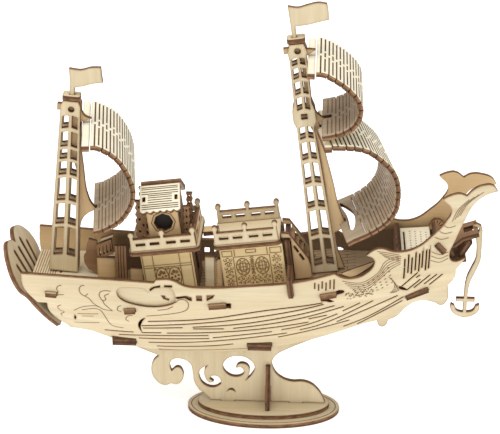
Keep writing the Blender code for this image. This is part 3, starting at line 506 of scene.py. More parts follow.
def welded_loops(node, good_face, project):
    """The outline loops of a CAD node's good face, as the frame has them."""
    mesh = NODES[node].data
    keys = [tuple(round(c * 1e5) for c in vertex.co) for vertex in mesh.vertices]
    where, uses = {}, {}
    for polygon in mesh.polygons:
        if not good_face(polygon):
            continue
        ring = [keys[i] for i in polygon.vertices]
        for i, key in zip(polygon.vertices, ring):
            where[key] = mesh.vertices[i].co
        for a, b in zip(ring, ring[1:] + ring[:1]):
            if (b, a) in uses:
                del uses[b, a]
            else:
                uses[a, b] = True
    following = {}
    for a, b in uses:
        following.setdefault(a, []).append(b)
    loops = []
    while following:
        start = next(iter(following))
        loop = [start]
        here = start
        while True:
            exits = following[here]
            towards = exits.pop()
            if not exits:
                del following[here]
            here = towards
            if here == start:
                break
            loop.append(here)
        if len(loop) > 2:
            loops.append([project(where[key]) for key in loop])
    return loops


def recut(node, matrix, look, cuts=(), grooves=()):
    """Cuts a flat CAD plate again with detail on its good face, which is the one towards +w."""
    to_plate = matrix.inverted()
    out = (matrix.to_3x3() @ Vector((0, 0, 1))).normalized()
    depths = [(to_plate @ v.co).z for v in NODES[node].data.vertices]
    high, low = max(depths), min(depths)

    def good_face(polygon):
        return polygon.normal.dot(out) > 0.9 and (to_plate @ polygon.center).z > (high + low) / 2

    def project(co):
        spot = to_plate @ co
        return (spot.x, spot.y)

    loops = welded_loops(node, good_face, project)
    mesh = sheet_mesh(node, loops, lambda u, v, d: matrix @ Vector((u, v, high - d)), high - low,
                      cuts, grooves)
    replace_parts(add_piece(f"{node}_cut", mesh, look), node)


def dress(node, look):
    """Gives a CAD plate its three finishes: its faces, its burnt edges and the grain they follow."""
    obj = NODES[node]
    mesh = obj.data
    total = {}
    for polygon in mesh.polygons:
        key = tuple(round(abs(c), 2) for c in polygon.normal)
        total[key] = total.get(key, 0.0) + polygon.area
    best = max(total, key=total.get)
    out = max((p for p in mesh.polygons if tuple(round(abs(c), 2) for c in p.normal) == best),
              key=lambda p: p.area).normal.normalized()
    upright = abs(out.x) > 0.7 or abs(out.y) > 0.7
    hint = Vector((0, 0, 1)) if upright else Vector((1, 0, 0))
    u_axis = (hint - out * hint.dot(out)).normalized()
    v_axis = out.cross(u_axis)
    mesh.materials.clear()
    for material in LOOKS[look]:
        mesh.materials.append(material)
    mesh.polygons.foreach_set(
        "material_index", [FACE if abs(p.normal.dot(out)) > 0.8 else EDGE for p in mesh.polygons])
    shift = Vector((RNG.uniform(0, 500), RNG.uniform(0, 500), 0))
    high = max(v.co.dot(out) for v in mesh.vertices)
    layer = mesh.attributes.new("grain", "FLOAT_VECTOR", "POINT")
    for i, vertex in enumerate(mesh.vertices):
        co = vertex.co
        layer.data[i].vector = Vector((co.dot(u_axis), co.dot(v_axis), high - co.dot(out))) / MM + shift


# Hull sides

BEAM_HALF = 34.0
BOW_HALF = 17.0
TAIL_INSET = 10.5
KEEL_HALF = 4.8
HULL_GRID = 6.0
UPRIGHT = 0.9


def ease(start, end, value):
    t = min(max((value - start) / (end - start), 0.0), 1.0)
    return t * t * (3.0 - 2.0 * t)


def hull_y(x, z):
    """Outer half-breadth of the hull, the same form as the CAD sheets are bent on."""
    breadth = BEAM_HALF - (BEAM_HALF - BOW_HALF) * ease(20.0, 130.0, x) - TAIL_INSET * ease(116.0, 146.0, x)
    sheer = 111.0 + 7.0 * ease(40.0, 155.0, -x) + 24.0 * ease(0.0, 130.0, x)
    reach = x + 45.0
    keel = 46.5 + (0.00197 if reach > 0 else 0.0026) * reach * reach
    rise = min(max((z - keel) / (sheer - keel), 0.0), 1.0)
    return KEEL_HALF + (breadth - KEEL_HALF) * (1.0 - (1.0 - rise) ** 1.6)


def hull_slits():
    """The long rows of slits that let the sheet bend."""
    rows = [
        [(-73, 80.6), (-33.8, 85.4), (3, 94.5), (38, 100.4)],
        [(-77.6, 75.6), (-34, 81.6), (3, 89.4), (38.7, 99)],
        [(-77, 73), (-51.2, 75.6)],
        [(-44.6, 76.4), (-8.4, 81.8), (45.6, 96.8)],
        [(-18.5, 76), (13.5, 83.2), (51.5, 95)],
        [(-44.3, 74.6), (-24.7, 75.4)],
        [(-78.4, 67.6), (-65.5, 68.8)],
        [(-61.8, 68.8), (-16, 73), (29.4, 81.8)],
        [(-103, 66.6), (-83.8, 67.4)],
        [(-94, 62.7), (-68, 65.4), (-35, 67.6)],
        [(-81, 60.4), (-34.6, 64.2)],
        [(-32.3, 65), (6, 72.4)],
        [(-75, 56), (-31.4, 61), (15.6, 70.2)],
        [(-69.8, 51.7), (-35.5, 54.7), (-19.5, 57.6)],
        [(29.5, 85.4), (41, 87.8)],
        [(12.3, 74.4), (28, 78.8), (47.7, 88)],
        [(24, 73.4), (39.8, 79), (69.9, 97)],
        [(10, 65.4), (55.6, 79.2)],
        [(47.5, 79.2), (85.6, 99)],
        [(51, 90.4), (61.8, 96.6)],
        [(52, 72.2), (68, 80.8), (89.4, 97)],
        [(61, 73.2), (89, 93.2)],
    ]
    return [line(*row, width=SLIT) for row in rows]


def upright_slit(x, low, high):
    return rect(x - UPRIGHT / 2, low, x + UPRIGHT / 2, high)


def bow_slits():
    """Short slits at the bow: upright ones, and slanting ones below them."""
    upright = [
        (88.6, 114, 129.6), (90.9, 118.5, 132.5), (93.1, 117.4, 130.2), (95.4, 120, 134.5),
        (97.7, 118.7, 132.6), (99.6, 121.6, 137), (101.9, 119.2, 135.4), (103.8, 120.6, 138),
    ]
    slanting = [
        ((87.8, 107.4), (97.2, 118)), ((91.6, 103.6), (99.2, 111.8)), ((96.5, 113.7), (98.8, 115.8)),
        ((95.6, 104.6), (105.3, 115)), ((102, 107.2), (109.6, 115)), ((105.4, 106), (113.2, 114.8)),
    ]
    return [upright_slit(*slit) for slit in upright] + [line(a, b, width=SLIT) for a, b in slanting]


def hull_openings():
    """Small windows along the side, and curled notches in the lines."""
    return [
        [(-63.4, 104), (-60.8, 103.8), (-60.6, 102.2), (-58.1, 101.4), (-58.6, 99.8), (-62, 101)],
        [(-68.5, 111.4), (-63.4, 112.8), (-63.4, 111.2), (-67, 110.6), (-70, 108), (-70.2, 109.8)],
        rect(-60.9, 111.4, -55.9, 112.9),
        [(-54.6, 104), (-47, 105.4), (-43.8, 104.2), (-44, 101), (-46, 101.8), (-48.6, 103.4), (-53, 102.4)],
        rect(-41, 101.4, -37.4, 105.8),
        [(-34.5, 106.2), (-29.4, 106.6), (-30.6, 104), (-34.5, 101.5)],
        rect(-22.6, 95.8, -19.3, 100),
        smooth([(45, 108.6), (48, 110.4), (51.2, 109.6), (51, 107.8), (47.8, 106.8), (45.2, 106.8)], True, 3),
        [(36.7, 105), (38.6, 103.4), (42, 103.4), (45.4, 100.8), (42.8, 100.3), (40, 101.6), (37.2, 101.8)],
        smooth([(86.2, 107.6), (88.2, 106.8), (92, 103), (88, 104), (86, 105.8)], True, 3),
        [(-120.7, 82), (-120.2, 78.3), (-121.8, 74.6), (-122, 78)],
        smooth([(-74.6, 84.2), (-78.4, 80.9), (-80, 74.8), (-78.2, 68.4), (-78.4, 74.4),
                (-76.8, 80)], True, 3),
    ]


def stern_curls():
    """Curling waves at the stern, and a line that follows the bottom."""
    return [line(*points) for points in (
        [(-125.8, 110.5), (-128, 109.6), (-129.2, 107), (-128.6, 104.4), (-130.4, 101.6), (-125.2, 102.2)],
        [(-111.2, 111), (-113.4, 110.5), (-114.8, 107.4), (-114, 104), (-111.8, 102), (-109.6, 104.2)],
        [(-112, 102), (-109.3, 100), (-106.8, 95.5), (-103.5, 92.4), (-100.4, 90), (-95, 89.3)],
        [(-94.8, 107), (-98.4, 107.4), (-101.4, 106.2), (-102.4, 102.8), (-100.6, 98.7), (-98.4, 100),
         (-99, 103), (-96, 105)],
        [(-100.6, 98.7), (-99.5, 95), (-95.6, 89.8)],
        [(-89.2, 94.8), (-91.2, 93.5), (-91.8, 90.2), (-89.6, 89)],
        [(-127.4, 83.5), (-130.4, 85), (-131, 89), (-128.6, 91.2)],
        [(-130.2, 77), (-130.4, 80), (-127.8, 82.6)],
        [(-120.7, 86.5), (-114.8, 91), (-107, 93.2), (-102.8, 92)],
        [(-115.2, 88), (-107.4, 90.3), (-103, 89), (-100.8, 83.2), (-98.8, 76), (-96, 72.4), (-90, 71.6)],
        [(-119, 83), (-105, 85)],
        [(-116.2, 80.8), (-108.4, 82)],
        [(-123, 71), (-105.6, 75)],
        [(-82.6, 85.8), (-85.8, 85), (-87.4, 81.2), (-85.4, 79.4)],
        [(-54.4, 99.2), (-52.3, 101.6), (-48.8, 102.2), (-46.2, 99.2), (-47, 94.2), (-51.4, 91), (-62.5, 88),
         (-73.7, 86)],
        [(-56, 96), (-60, 93.4), (-66, 92)],
        [(-69, 47.8), (-55, 48), (-42, 49), (-14, 51), (0, 52.6)],
    )]


def bow_waves():
    """A row of upright bars, and families of ripples, each one following the last."""
    bars = [(33, 112.6, 117), (35.4, 111.2, 116), (37.6, 112.5, 118), (40, 110.8, 117), (42.5, 112.1, 118.6),
            (44.9, 111.4, 119)]
    ripples = []
    for i in range(5):
        ripples.append([(50 + 1.6 * i, 117.4 - 2.0 * i), (62 + i, 114.6 - 1.4 * i),
                        (72 + 0.4 * i, 121 - 1.2 * i), (76.5 + 0.8 * i, 129 - 1.6 * i),
                        (86, 131.6 - 1.3 * i)])
    for i in range(4):
        ripples.append([(71 + 1.5 * i, 136.4 - 1.3 * i), (77 + i, 135 - 1.6 * i), (85, 132.6 - 1.2 * i)])
    for i in range(4):
        ripples.append([(79 + 2 * i, 117 - 2.6 * i), (82.6 + i, 112 - 2.2 * i), (83 + i, 106 - 0.8 * i),
                        (80.6 + 0.6 * i, 102.2)])
    for i in range(3):
        ripples.append([(105, 127 + 3.2 * i), (110.4, 125 + 3 * i), (115.6, 128 + 2.4 * i)])
        ripples.append([(106.4 + 2.6 * i, 143.6 + 4 * i), (110.4 + 2 * i, 141.8 + 4 * i),
                        (115 + 2 * i, 142.8 + 4 * i)])
    for i in range(4):
        ripples.append([(116.6 + 1.6 * i, 154 + 1.2 * i), (120 + 2 * i, 162 + i), (126.4 + 3 * i, 167.6 + i)])
    return [upright_slit(*bar) for bar in bars] + [line(*points, width=FINE) for points in ripples]


def hull_dots():
    """Rows of small notches for the spray behind the bow wave, and loose flecks of it at the waterline."""
    dots = []
    for row in range(5):
        for i in range(8):
            u = 60 + 3.0 * i - 0.8 * row
            v = 103.8 + 0.16 * i * i + 3.4 * row * (0.4 + 0.07 * i)
            dots.append(stroke([(u, v), (u + 0.9, v + 0.8)], 0.5))
    rng = random.Random(5)
    for i in range(44):
        u = 52 + 0.4 * i
        v = 104.2 + 0.03 * i + rng.uniform(-2.4, 3.0)
        turn = rng.uniform(-1.3, 1.3)
        dots.append(stroke([(u, v), (u + 1.2 * math.cos(turn), v + 1.2 * math.sin(turn))], 0.42))
    return dots


def leaf_pocket():
    """A long leaf, sunk into the sheet under the stern wave."""
    return smooth([
        (-91.2, 105.6), (-90.2, 108.6), (-87.6, 110), (-79.4, 110.2), (-73, 109.2), (-71.6, 106.8),
        (-69.6, 108), (-66, 110.2), (-58, 110.8), (-55, 107.6), (-54.4, 104), (-54.6, 99.4), (-59, 96.6),
        (-66, 94.8), (-74.5, 94.8), (-84, 97.2), (-89.4, 101),
    ], True, 3)


def hull_side(node, side):
    """A side cut again with its detail and bent on the hull's form. side is -1 to starboard, 1 to port."""

    def good_face(polygon):
        return polygon.normal.y * side > 0.25

    loops = welded_loops(node, good_face, lambda co: (co.x / MM, co.z / MM))

    def place(u, v, depth):
        return Vector((u, side * (hull_y(u, v) - depth), v)) * MM

    cuts = hull_slits() + hull_openings()
    carved = stern_curls() + bow_waves() + hull_dots()
    if side < 0:
        cuts += bow_slits()
    else:
        carved += bow_slits()  # engraved only, so that no light shows through both sides
    # The port side's inboard face takes the painted-shade INNER material.
    back = FACE if side < 0 else INNER
    mesh = sheet_mesh(node, loops, place, PLY, cuts, carved, [leaf_pocket()], HULL_GRID, back)
    piece = add_piece(f"{node}_cut", mesh, "birch" if side < 0 else "birch_shaded_inboard", bend=True)
    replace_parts(piece, node)


hull_side("hull_side_starboard", -1)
hull_side("hull_side_port", 1)


# Sails

# A slit is a narrow kerf right through, in a wider burnt groove, and it opens to a joint at the sheet's edge.
SLAT = 2.6
KERF = 0.3
JOINT = 0.8
JOINT_DEPTH = 1.4
BRIDGE = 4.0
HEM = 2.6
MIDDLE_REACH = 3.4
SIDE_START = 6.5
BRACKET_SLOT = 2.3
BRACKET_CLEAR = 4.6
SAIL_GRID = 5.0


def bent_sail(node, x, yaw, profile, half, head, foot, slot_depth, crescent=False):
    """A sheet with rows of slits from side to side, bent along its profile and swung about the vertical.

    The profile runs from head to foot. The rows start after the head margin and stop before the foot margin,
    and a slot in the foot takes the mast's bracket.
    """
    path = [Vector(p) for p in smooth(profile, step=8)]
    lengths = [0.0]
    for a, b in zip(path, path[1:]):
        lengths.append(lengths[-1] + (b - a).length)
    total = lengths[-1]
    turn = Matrix.Translation(Vector((x, 0, 0))) @ Matrix.Rotation(math.radians(yaw), 4, "Z")

    def at(s):
        k = next((i for i in range(1, len(path)) if lengths[i] >= s), len(path) - 1)
        t = (s - lengths[k - 1]) / (lengths[k] - lengths[k - 1])
        along = (path[min(k + 1, len(path) - 1)] - path[max(k - 2, 0)]).normalized()
        return path[k - 1].lerp(path[k], t), Vector((-along.y, along.x))

    def place(u, v, depth):
        spot, out = at(u)
        spot = spot - out * depth
        return turn @ Vector((spot.x, v, spot.y)) * MM

    outline = [(0, -half), (total, -half), (total, -BRACKET_SLOT), (total - slot_depth, -BRACKET_SLOT),
               (total - slot_depth, BRACKET_SLOT), (total, BRACKET_SLOT), (total, half), (0, half)]
    cuts = []
    kerfs = []
    rows = round((total - head - foot) / SLAT)
    for i in range(rows + 1):
        s = head + i * (total - head - foot) / rows
        spans = [(-half - 1, -BRIDGE / 2), (BRIDGE / 2, half + 1)]
        if s > total - slot_depth - 1:
            spans = [(HEM - half, -BRACKET_CLEAR), (BRACKET_CLEAR, half - HEM)]
        elif i % 2:
            spans = [(HEM - half, -SIDE_START), (-MIDDLE_REACH, MIDDLE_REACH), (SIDE_START, half - HEM)]
        if i > 1:
            cuts += [rect(s - KERF / 2, a, s + KERF / 2, b) for a, b in spans]
        if i > 1 and spans[0][0] < -half:
            cuts.append(rect(s - JOINT / 2, -half - 1, s + JOINT / 2, JOINT_DEPTH - half))
            cuts.append(rect(s - JOINT / 2, half - JOINT_DEPTH, s + JOINT / 2, half + 1))
        kerfs += [rect(s - SLIT / 2, a - 0.2, s + SLIT / 2, b + 0.2) for a, b in spans]
    if crescent:
        cuts.append(smooth([
            (total - 5, 22.5), (total - 8.6, 13), (total - 10.5, 4.5), (total - 9.6, -7), (total - 6.8, -16),
            (total - 5.1, -14), (total - 5.2, -6.5), (total - 6, 6), (total - 5, 16)], True, 3))
    # The back faces take the INNER slot, the pale face's copy in painted shade.
    mesh = sheet_mesh(node, [outline], place, PLY, cuts, kerfs, grid=SAIL_GRID, back=INNER)
    piece = add_piece(f"{node}_slatted", mesh, "pale", bend=True)
    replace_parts(piece, node)


bent_sail(
    "aft_sail", -95.0, 7.5,
    [(-12.2, 208), (-7, 207.2), (2.5, 201.1), (9, 192.1), (12.8, 182.1), (13.7, 173.2), (11, 164.4),
     (4.6, 155.6), (-5.6, 149.3), (-12.4, 147.4)],
    half=34.5, head=2.6, foot=3.6, slot_depth=2.2)
bent_sail(
    "fore_sail_upper", 45.0, 0.0,
    [(-13.9, 255.2), (-7.5, 254.2), (3.6, 247.4), (11.4, 239.4), (14.3, 232), (13.2, 224.7), (8.8, 218.2),
     (1, 213.8), (-9.2, 211.4)],
    half=29.5, head=2.4, foot=3.4, slot_depth=5.8)
bent_sail(
    "fore_sail_lower", 62.0, 10.0,
    [(-25, 209.3), (-12.7, 208.2), (-4.5, 206.1), (1.3, 202.6), (7.4, 197.2), (12.3, 191.9), (15.5, 186),
     (17, 180.1), (17.5, 173.6), (17, 166.5), (15.4, 161.4), (12.6, 156.9), (9.2, 153.2), (3.4, 149),
     (-2.4, 146), (-8.3, 143.7), (-13.6, 140.9)],
    half=27.5, head=3.0, foot=13.0, slot_depth=4.8, crescent=True)


# Plates

X, Y, Z = Vector((1, 0, 0)), Vector((0, 1, 0)), Vector((0, 0, 1))
FLAT = basis((0, 0, 0), X, Y, Z)


def tilted(origin, pitch):
    """The frame of a pitched deck: u ahead along it, v to port and w up out of it."""
    ahead = Vector((math.cos(pitch), 0, math.sin(pitch)))
    return basis(origin, ahead, Y, Vector((-math.sin(pitch), 0, math.cos(pitch))))


DECK_ORIGIN = (-28.0, 0.0, 99.5)
DECK_PITCH = math.radians(7.3)
ALONG = Vector((math.cos(DECK_PITCH), 0, math.sin(DECK_PITCH)))
UP = Vector((-math.sin(DECK_PITCH), 0, math.cos(DECK_PITCH)))
DECK_SIDE = basis(DECK_ORIGIN, ALONG, UP, -Y)
DECK_PORT = basis(DECK_ORIGIN, ALONG, UP, Y)
DECK_FLAT = tilted(DECK_ORIGIN, DECK_PITCH)
POOP = tilted((-123.0, 0.0, 103.6), math.radians(-2.9))
FORE = tilted((96.0, 0.0, 131.5), math.radians(11.0))


def planks(low_u, high_u, low_v, high_v, pitch, joint=14.0):
    """Plank seams along u, with staggered end joints."""
    lines = []
    count = int((high_v - low_v) / pitch)
    for i in range(count + 1):
        v = low_v + i * pitch
        lines.append(rect(low_u, v - SEAM / 2, high_u, v + SEAM / 2))
        u = low_u + joint * (0.3 + 0.5 * (i % 2))
        while u < high_u - 2 and i < count:
            lines.append(rect(u - SEAM / 2, v, u + SEAM / 2, v + pitch))
            u += joint
    return lines


def deck_plates():
    """Planked decks, with two broken rows of slots aft and staggered pin holes forward."""
    # The main deck takes the dark hold look as painted shade.
    recut("main_deck", DECK_FLAT, "hold", grooves=planks(-62, 88, -26, 26, 4))
    seams = [rect(-24.5 + 1.6 * i, -25, -24.5 + 1.6 * i + SEAM, 25) for i in range(9)]
    starts = [first + 4.6 * i for first in (-24, 3.4) for i in range(5)]
    slots = [rect(-8.6, start, -7.6, start + 2.2) for start in starts]
    recut("poop_deck", POOP, "birch", slots, seams + planks(14, 26, -28, 28, 4))
    pin_holes = []
    for column in range(4):
        for row in range(9):
            v = -13 + 3.2 * row + 1.6 * (column % 2)
            if abs(v) < 13.5 - 1.1 * column:
                pin_holes.append(ellipse((-3.2 + 3.4 * column, v), 0.45, count=6))
    recut("fore_deck", FORE, "pale", [rect(-7.6, -13, -6.6, 13), *pin_holes])


deck_plates()


def medallion(centre, radius_u, radius_v):
    """A round carved panel: two rings with a lattice inside and small drops between them."""
    lines = ring_lines(centre, radius_u, radius_v, 0.6)
    lines += ring_lines(centre, radius_u * 0.62, radius_v * 0.62, 0.45)
    u, v = centre
    reach_u, reach_v = radius_u * 0.56, radius_v * 0.56
    for share in (-0.4, 0.0, 0.4):
        bar_u, bar_v = u + share * radius_u, v + share * radius_v
        lines.append(rect(bar_u - 0.22, v - reach_v, bar_u + 0.22, v + reach_v))
        lines.append(rect(u - reach_u, bar_v - 0.22, u + reach_u, bar_v + 0.22))
    for i in range(8):
        a = math.tau * (i + 0.5) / 8
        spot = (u + 0.81 * radius_u * math.cos(a), v + 0.81 * radius_v * math.sin(a))
        lines.append(ellipse(spot, 0.42, 0.62, 6, a))
    return lines


def fretwork(low_u, low_v, high_u, high_v, pitch, seed):
    """Carved scrolls and leaves that fill a panel, mirrored about its middle."""
    rng = random.Random(seed)
    lines = []
    middle = (low_u + high_u) / 2
    columns = max(round((high_u - middle) / pitch), 1)
    rows = max(round((high_v - low_v) / pitch), 1)
    step_u, step_v = (high_u - middle) / columns, (high_v - low_v) / rows
    for i in range(columns):
        for j in range(rows):
            du = (i + 0.5) * step_u
            v = low_v + (j + 0.5) * step_v
            start = rng.uniform(0, math.tau)
            turns = rng.uniform(0.75, 1.1)
            size = rng.uniform(0.36, 0.46) * min(step_u, step_v)
            leaf = rng.uniform(-1.0, 1.0)
            for side in (-1, 1):
                begin = start if side > 0 else math.pi - start
                lines.append(scroll((middle + side * du, v), size, turns, begin, side, 0.55))
                tip = Vector((side * math.cos(leaf), math.sin(leaf))) * 0.5 * min(step_u, step_v)
                at = Vector((middle + side * (du - 0.46 * step_u), v + 0.46 * step_v))
                leaf_line = [tuple(at - tip * 0.5), tuple(at), tuple(at + tip * 0.5)]
                lines.append(stroke(leaf_line, 0.6, taper=True))
    return lines


def aft_wall_engraving():
    """Plain panels above, and a star of petals on each side of the middle below."""
    lines = frame_lines(-45.2, 2.5, -14.4, 30.4)
    for u in (-38.6, -21.6):
        lines.append(rect(u - 0.2, 2.6, u + 0.2, 30.3))
    for v in (21.0, 22.6):
        lines.append(rect(-45.1, v - 0.18, -14.5, v + 0.18))
    for u in (-34.2, -26.0):
        lines += rosette((u, 13.6), 3.9, 6.6, 8, 0.2) + ring_lines((u, 13.6), 3.95, 6.8, 0.6)
        for du, dv in ((-1, -1), (1, -1), (-1, 1), (1, 1)):
            lines.append(scroll((u + 3.2 * du, 13.6 + 6.2 * dv), 1.0, 0.9, math.pi / 4, du * dv, 0.6))
    return lines + fretwork(-38.2, 2.8, -22, 6.6, 2.2, 8)


def fore_wall_engraving():
    """Two medallions under a plain frieze, in a field of fretwork."""
    lines = []
    for u in (17.6, 29.8):
        lines += medallion((u, 15.4), 4.2, 6.0)
    lines += frame_lines(12.2, 1.6, 35.2, 22.8) + frame_lines(20.6, 25.2, 26.8, 27.4)
    lines += fretwork(12.8, 2.2, 34.6, 8.6, 2.7, 4)
    lines += fretwork(22.4, 9.4, 25.0, 22.2, 1.3, 12)
    for low_u, high_u, seed in ((5.4, 11.6, 6), (35.8, 42.8, 9)):
        lines += fretwork(low_u, 1.6, high_u, 22.6, 3.0, seed) + frame_lines(low_u, 23.6, high_u, 27.4)
    for u in (13.2, 34.0):
        lines.append(rect(u - 0.25, 23.4, u + 0.25, 28))
    return lines


for wall, engraving in (("cabin_aft_wall", aft_wall_engraving), ("cabin_fore_wall", fore_wall_engraving)):
    recut(f"{wall}_starboard", DECK_SIDE, "carved", grooves=engraving())
    recut(f"{wall}_port", DECK_PORT, "carved", grooves=engraving())


def octagon_ring(centre, radius):
    points = ellipse(centre, radius, count=8)
    return [stroke([points[i], points[(i + 1) % 8]]) for i in range(8)]


TOWER_FLOOR = 36.1
TOWER_HEIGHT = 24.0
WINDOW = (-28.5, TOWER_FLOOR + TOWER_HEIGHT * 0.6)
ROOF_SLOPE = math.radians(40.0)


def tower_plates():
    """Walls with an octagon round the window, and roof slopes ruled with lines, shorter between the slots."""
    recut("tower_wall_starboard", DECK_SIDE, "tan", grooves=octagon_ring(WINDOW, 7.6))
    recut("tower_wall_port", DECK_PORT, "tan", grooves=octagon_ring(WINDOW, 7.6))
    rows = [(v, 11.6) for v in (-6.8, -5.4, -4.0, 3.4, 4.9, 6.6, 7.8)]
    rows += [(v, 7.6) for v in (-2.4, -0.8, 0.8, 2.2)]
    ruled = [rect(-reach, v - 0.25, reach, v + 0.25) for v, reach in rows]
    for roof, side in (("tower_roof_starboard", -1), ("tower_roof_port", 1)):
        low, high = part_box(roof)
        middle = (Vector(low) + Vector(high)) / 2 / MM
        slope = Vector((0, -side * math.cos(ROOF_SLOPE), 0)) + UP * math.sin(ROOF_SLOPE)
        out = Vector((0, side * math.sin(ROOF_SLOPE), 0)) + UP * math.cos(ROOF_SLOPE)
        recut(roof, basis(middle, ALONG, slope, out), "pale", grooves=ruled)


tower_plates()
recut("stand_base_lower", FLAT, "birch", grooves=ring_lines((0, 0), 48.6, 21.6, 0.4, 40))


# Small fittings that only the looks have

CATHEAD_AHEAD = Vector((0.969, 0, 0.245))
CATHEAD_UP = Vector((-0.245, 0, 0.969))


def fitting(name, matrix, outline, look, cuts=(), grooves=()):
    """A plate that rides with the ship. Its good face is towards +w, at w = 0."""
    mesh = sheet_mesh(name, [outline], lambda u, v, d: matrix @ Vector((u, v, -d)), PLY, cuts, grooves)
    add_piece(name, mesh, look)


def side_plane(y):
    return basis((0, y, 0), X, Z, -Y)


def jagged(low_u, high_u, low_v, high_v, teeth, bite):
    """A strip with a zigzag down both of its long edges."""
    left, right = [], []
    for i in range(2 * teeth + 1):
        v = low_v + (high_v - low_v) * i / (2 * teeth)
        inset = bite if i % 2 else 0.0
        left.append((low_u + inset, v))
        right.append((high_u - inset, v))
    return right + left[::-1]


def foot_fittings():
    """A curved bracket at the foot of the aft sail, and a plate that the cathead stands on."""
    crescent = [
        (-112.2, 128), (-106.9, 126.6), (-106.9, 121.2), (-106.2, 112.1), (-103, 106.7), (-103.6, 103.6),
        (-108.5, 103.4), (-113.3, 106.4), (-115.7, 111.2), (-115.8, 115.5), (-114.3, 117.9), (-113.5, 124),
    ]
    # The bracket takes the dark burnt look as painted shade, for the shadow it lies in.
    fitting("sail_foot_bracket", side_plane(-4), crescent, "burnt")
    foot = basis((122.75, 0, 123.2), CATHEAD_AHEAD, Y, CATHEAD_UP)
    fitting("cathead_foot", foot, rect(-4.9, -9, 4.9, 9), "burnt")


def poop_fittings():
    """A slotted grating under a sloping rail, a ladder, a step and a panel, all abaft the cabins."""
    slots = [rect(-104.9 + 2.3 * i, 118.6 + 1.05 * i, -103.7 + 2.3 * i, 124.4 + 1.05 * i) for i in range(4)]
    board = [(-106.6, 126), (-97, 130.4), (-96.2, 120.3), (-105.8, 115.4)]
    fitting("poop_grating", side_plane(-8), board, "burnt", slots)
    rail = [(-104, 128.6), (-95.8, 132), (-95.8, 133.4), (-104, 130)]
    fitting("poop_grating_rail", side_plane(-7), rail, "birch")
    # The ladder's burnt look and the panel's darker look are painted shade for the dark corner abaft the
    # cabins.
    seams = [rect(u - 0.25, 106, u + 0.25, 129) for u in (-92, -90.4, -88.6)]
    fitting("poop_ladder", side_plane(-14), rect(-93.9, 104, -86.8, 129), "burnt", grooves=seams)
    fitting("poop_step", side_plane(-14), rect(-84.6, 101, -76.4, 113), "tan")
    fitting("poop_panel", side_plane(-10), rect(-106.4, 104, -94.6, 118), "tan")


def tower_fittings():
    """A black plate behind the windows, painted shade for the dark inside of the tower, and pierced zigzag
    strips before and behind the tower.
    """
    fitting("tower_window_shade", basis((-61, -7.5, 147), X, Z, -Y), rect(-8.4, -9, 8.4, 8), "soot_and_shade")
    for name, y in (("near", -8.2), ("far", 11.2)):
        strip = jagged(-81, -73, 129.8, 158, 6, 1.3)
        holes = [ellipse((-77 + 1.2 * (-1) ** i, 133 + 4.2 * i), 0.8, 1.2, 8) for i in range(6)]
        fitting(f"tower_lattice_stern_{name}", side_plane(y), strip, "burnt", holes)
        strip = jagged(-50.6, -46.4, 131.6, 155, 5, 0.9)
        holes = [ellipse((-48.5, 135 + 4.4 * i), 0.7, 1.1, 8) for i in range(5)]
        fitting(f"tower_lattice_bow_{name}", side_plane(y), strip, "burnt", holes)


def cabin_fittings():
    """A step and a pinned corner post between the cabins, and the treads of the stair."""
    fitting("cabin_step", side_plane(-14), rect(-36.8, 101.2, -30.8, 122.6), "birch")
    dots = [ellipse((-29.4, 103.6 + 1.7 * i), 0.3, 0.5, 6) for i in range(10)]
    corner = [(-30.4, 101.4), (-25.6, 101.4), (-26.2, 121), (-28.4, 121), (-30, 119.4), (-30.4, 117.4)]
    fitting("cabin_corner", side_plane(-13.4), corner, "tan", grooves=dots)
    for i in range(3):
        tread = basis((17.2 + 2.9 * i, 0, 132.4 - 4.4 * i), X, Y, Z)
        fitting(f"stair_step_{i}", tread, rect(-2.2, -7.6, 2.2, 7.6), "burnt")


def bow_fittings():
    """A pointed crest that lies on the deck, and a small fan of bars high up in the bow."""
    rim = smooth([(48, -19), (55, -12), (62.5, -6.4), (69.6, -1), (72, -2), (70, -8), (66, -14), (60, -21.6),
                  (54, -24)], True, 3)
    fitting("deck_crest", basis((0, 0, 116), X, Y, Z), rim, "tan", grooves=[stroke([*rim, rim[0]], 3.2)])
    arc = [math.pi * (1 - k / 10) for k in range(11)]
    fan = [(105.4, 133.6), *((110 + 5 * math.cos(a), 134.4 + 6.2 * math.sin(a)) for a in arc), (114.6, 133.6)]
    rays = [math.pi * k / 6 for k in range(1, 6)]
    bars = [stroke([(110, 135), (110 + 4.2 * math.cos(a), 135 + 5.2 * math.sin(a))], 0.5) for a in rays]
    fitting("bow_fan", side_plane(10.6), fan, "tan", grooves=bars)


foot_fittings()
poop_fittings()
tower_fittings()
cabin_fittings()
bow_fittings()


# Frame plates that keep their CAD shape

KEPT = {
    "birch": (
        "keel_scroll_plate", "stand_base_upper", "transom", "cabin_aft_platform", "cabin_fore_platform",
        "cabin_aft_rail_starboard", "cabin_aft_rail_port", "cabin_fore_rail_starboard",
        "cabin_fore_rail_port", "aft_mast_frame_starboard", "aft_mast_frame_port",
        "fore_mast_frame_starboard", "fore_mast_frame_port", "anchor", "aft_flag", "fore_flag",
        "aft_mast_cap", "fore_mast_cap",
    ),
    "tan": (
        "bridge_plank", "stair_side_starboard", "stair_side_port", "aft_mast_core", "fore_mast_core",
        "cabin_aft_rail_bow", "cabin_fore_rail_stern",
    ),
    "pale": ("aft_yard", "fore_yard_upper", "fore_yard_lower"),
    "burnt": (
        "stand_cross_brace", "floor_aft", "floor_mid", "floor_bow", "bulkhead_bow", "cabin_aft_wall_stern",
        "cabin_aft_wall_bow", "cabin_fore_wall_stern", "cabin_fore_wall_bow", "tower_wall_stern",
        "tower_wall_bow", "stair_tread", "stem_tie", "cathead", "cathead_strut",
    ),
}
for look, nodes in KEPT.items():
    for node in nodes:
        dress(node, look)


# Floor, light and camera

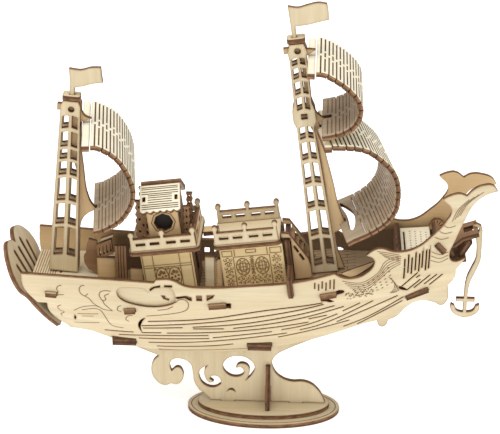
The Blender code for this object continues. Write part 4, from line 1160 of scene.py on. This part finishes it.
FLOOR_HALF = 4.0
FLOOR_GLOW = 0.42
SKY_LIGHT = 0.68
SHIP_MIDDLE = Vector((0, 0, 0.13))
LAMPS = (
    # place, size in metres and power in watts
    ("key", (-0.35, -0.35, 2.1), 1.3, 26.0),
    ("fill", (1.2, -1.4, 0.7), 1.4, 4.0),
)
CAMERA_PLACE = Vector((0.0353, -0.8453, 0.5761))
CAMERA_TARGET = Vector((-0.009, 0.0, 0.1448))
LENS = 108.07
SENSOR = 36.0


def facing(place, target):
    """The rotation of a lamp or camera at one place that looks at another."""
    return (target - place).to_track_quat("-Z", "Y").to_euler()


def studio_floor():
    r = FLOOR_HALF
    mesh = bpy.data.meshes.new("floor")
    mesh.from_pydata([(-r, -r, 0), (r, -r, 0), (r, r, 0), (-r, r, 0)], [], [(0, 1, 2, 3)])
    floor = bpy.data.objects.new("floor", mesh)
    bpy.context.scene.collection.objects.link(floor)
    s = Shader("floor_paper")
    coords = s.node("ShaderNodeTexCoord").outputs["Object"]
    paper = s.mix(s.noise(coords, 40.0, 2.0), (0.95, 0.95, 0.95), (0.97, 0.97, 0.965))
    mesh.materials.append(s.finish(paper, 0.9, glow=FLOOR_GLOW))


def studio_light():
    world = bpy.data.worlds.new("studio")
    world.use_nodes = True
    sky = world.node_tree.nodes["Background"]
    sky.inputs[0].default_value = (1.0, 1.0, 1.0, 1.0)
    sky.inputs[1].default_value = SKY_LIGHT
    bpy.context.scene.world = world
    for name, place, size, power in LAMPS:
        lamp = bpy.data.lights.new(name, "AREA")
        lamp.size = size
        lamp.energy = power
        obj = bpy.data.objects.new(name, lamp)
        obj.location = place
        obj.rotation_euler = facing(Vector(place), SHIP_MIDDLE)
        bpy.context.scene.collection.objects.link(obj)


def camera():
    data = bpy.data.cameras.new("camera")
    data.sensor_width = SENSOR
    data.lens = LENS
    obj = bpy.data.objects.new("camera", data)
    obj.location = CAMERA_PLACE
    obj.rotation_euler = facing(CAMERA_PLACE, CAMERA_TARGET)
    bpy.context.scene.collection.objects.link(obj)
    bpy.context.scene.camera = obj


studio_floor()
studio_light()
camera()
bpy.context.scene.view_settings.view_transform = "Standard"
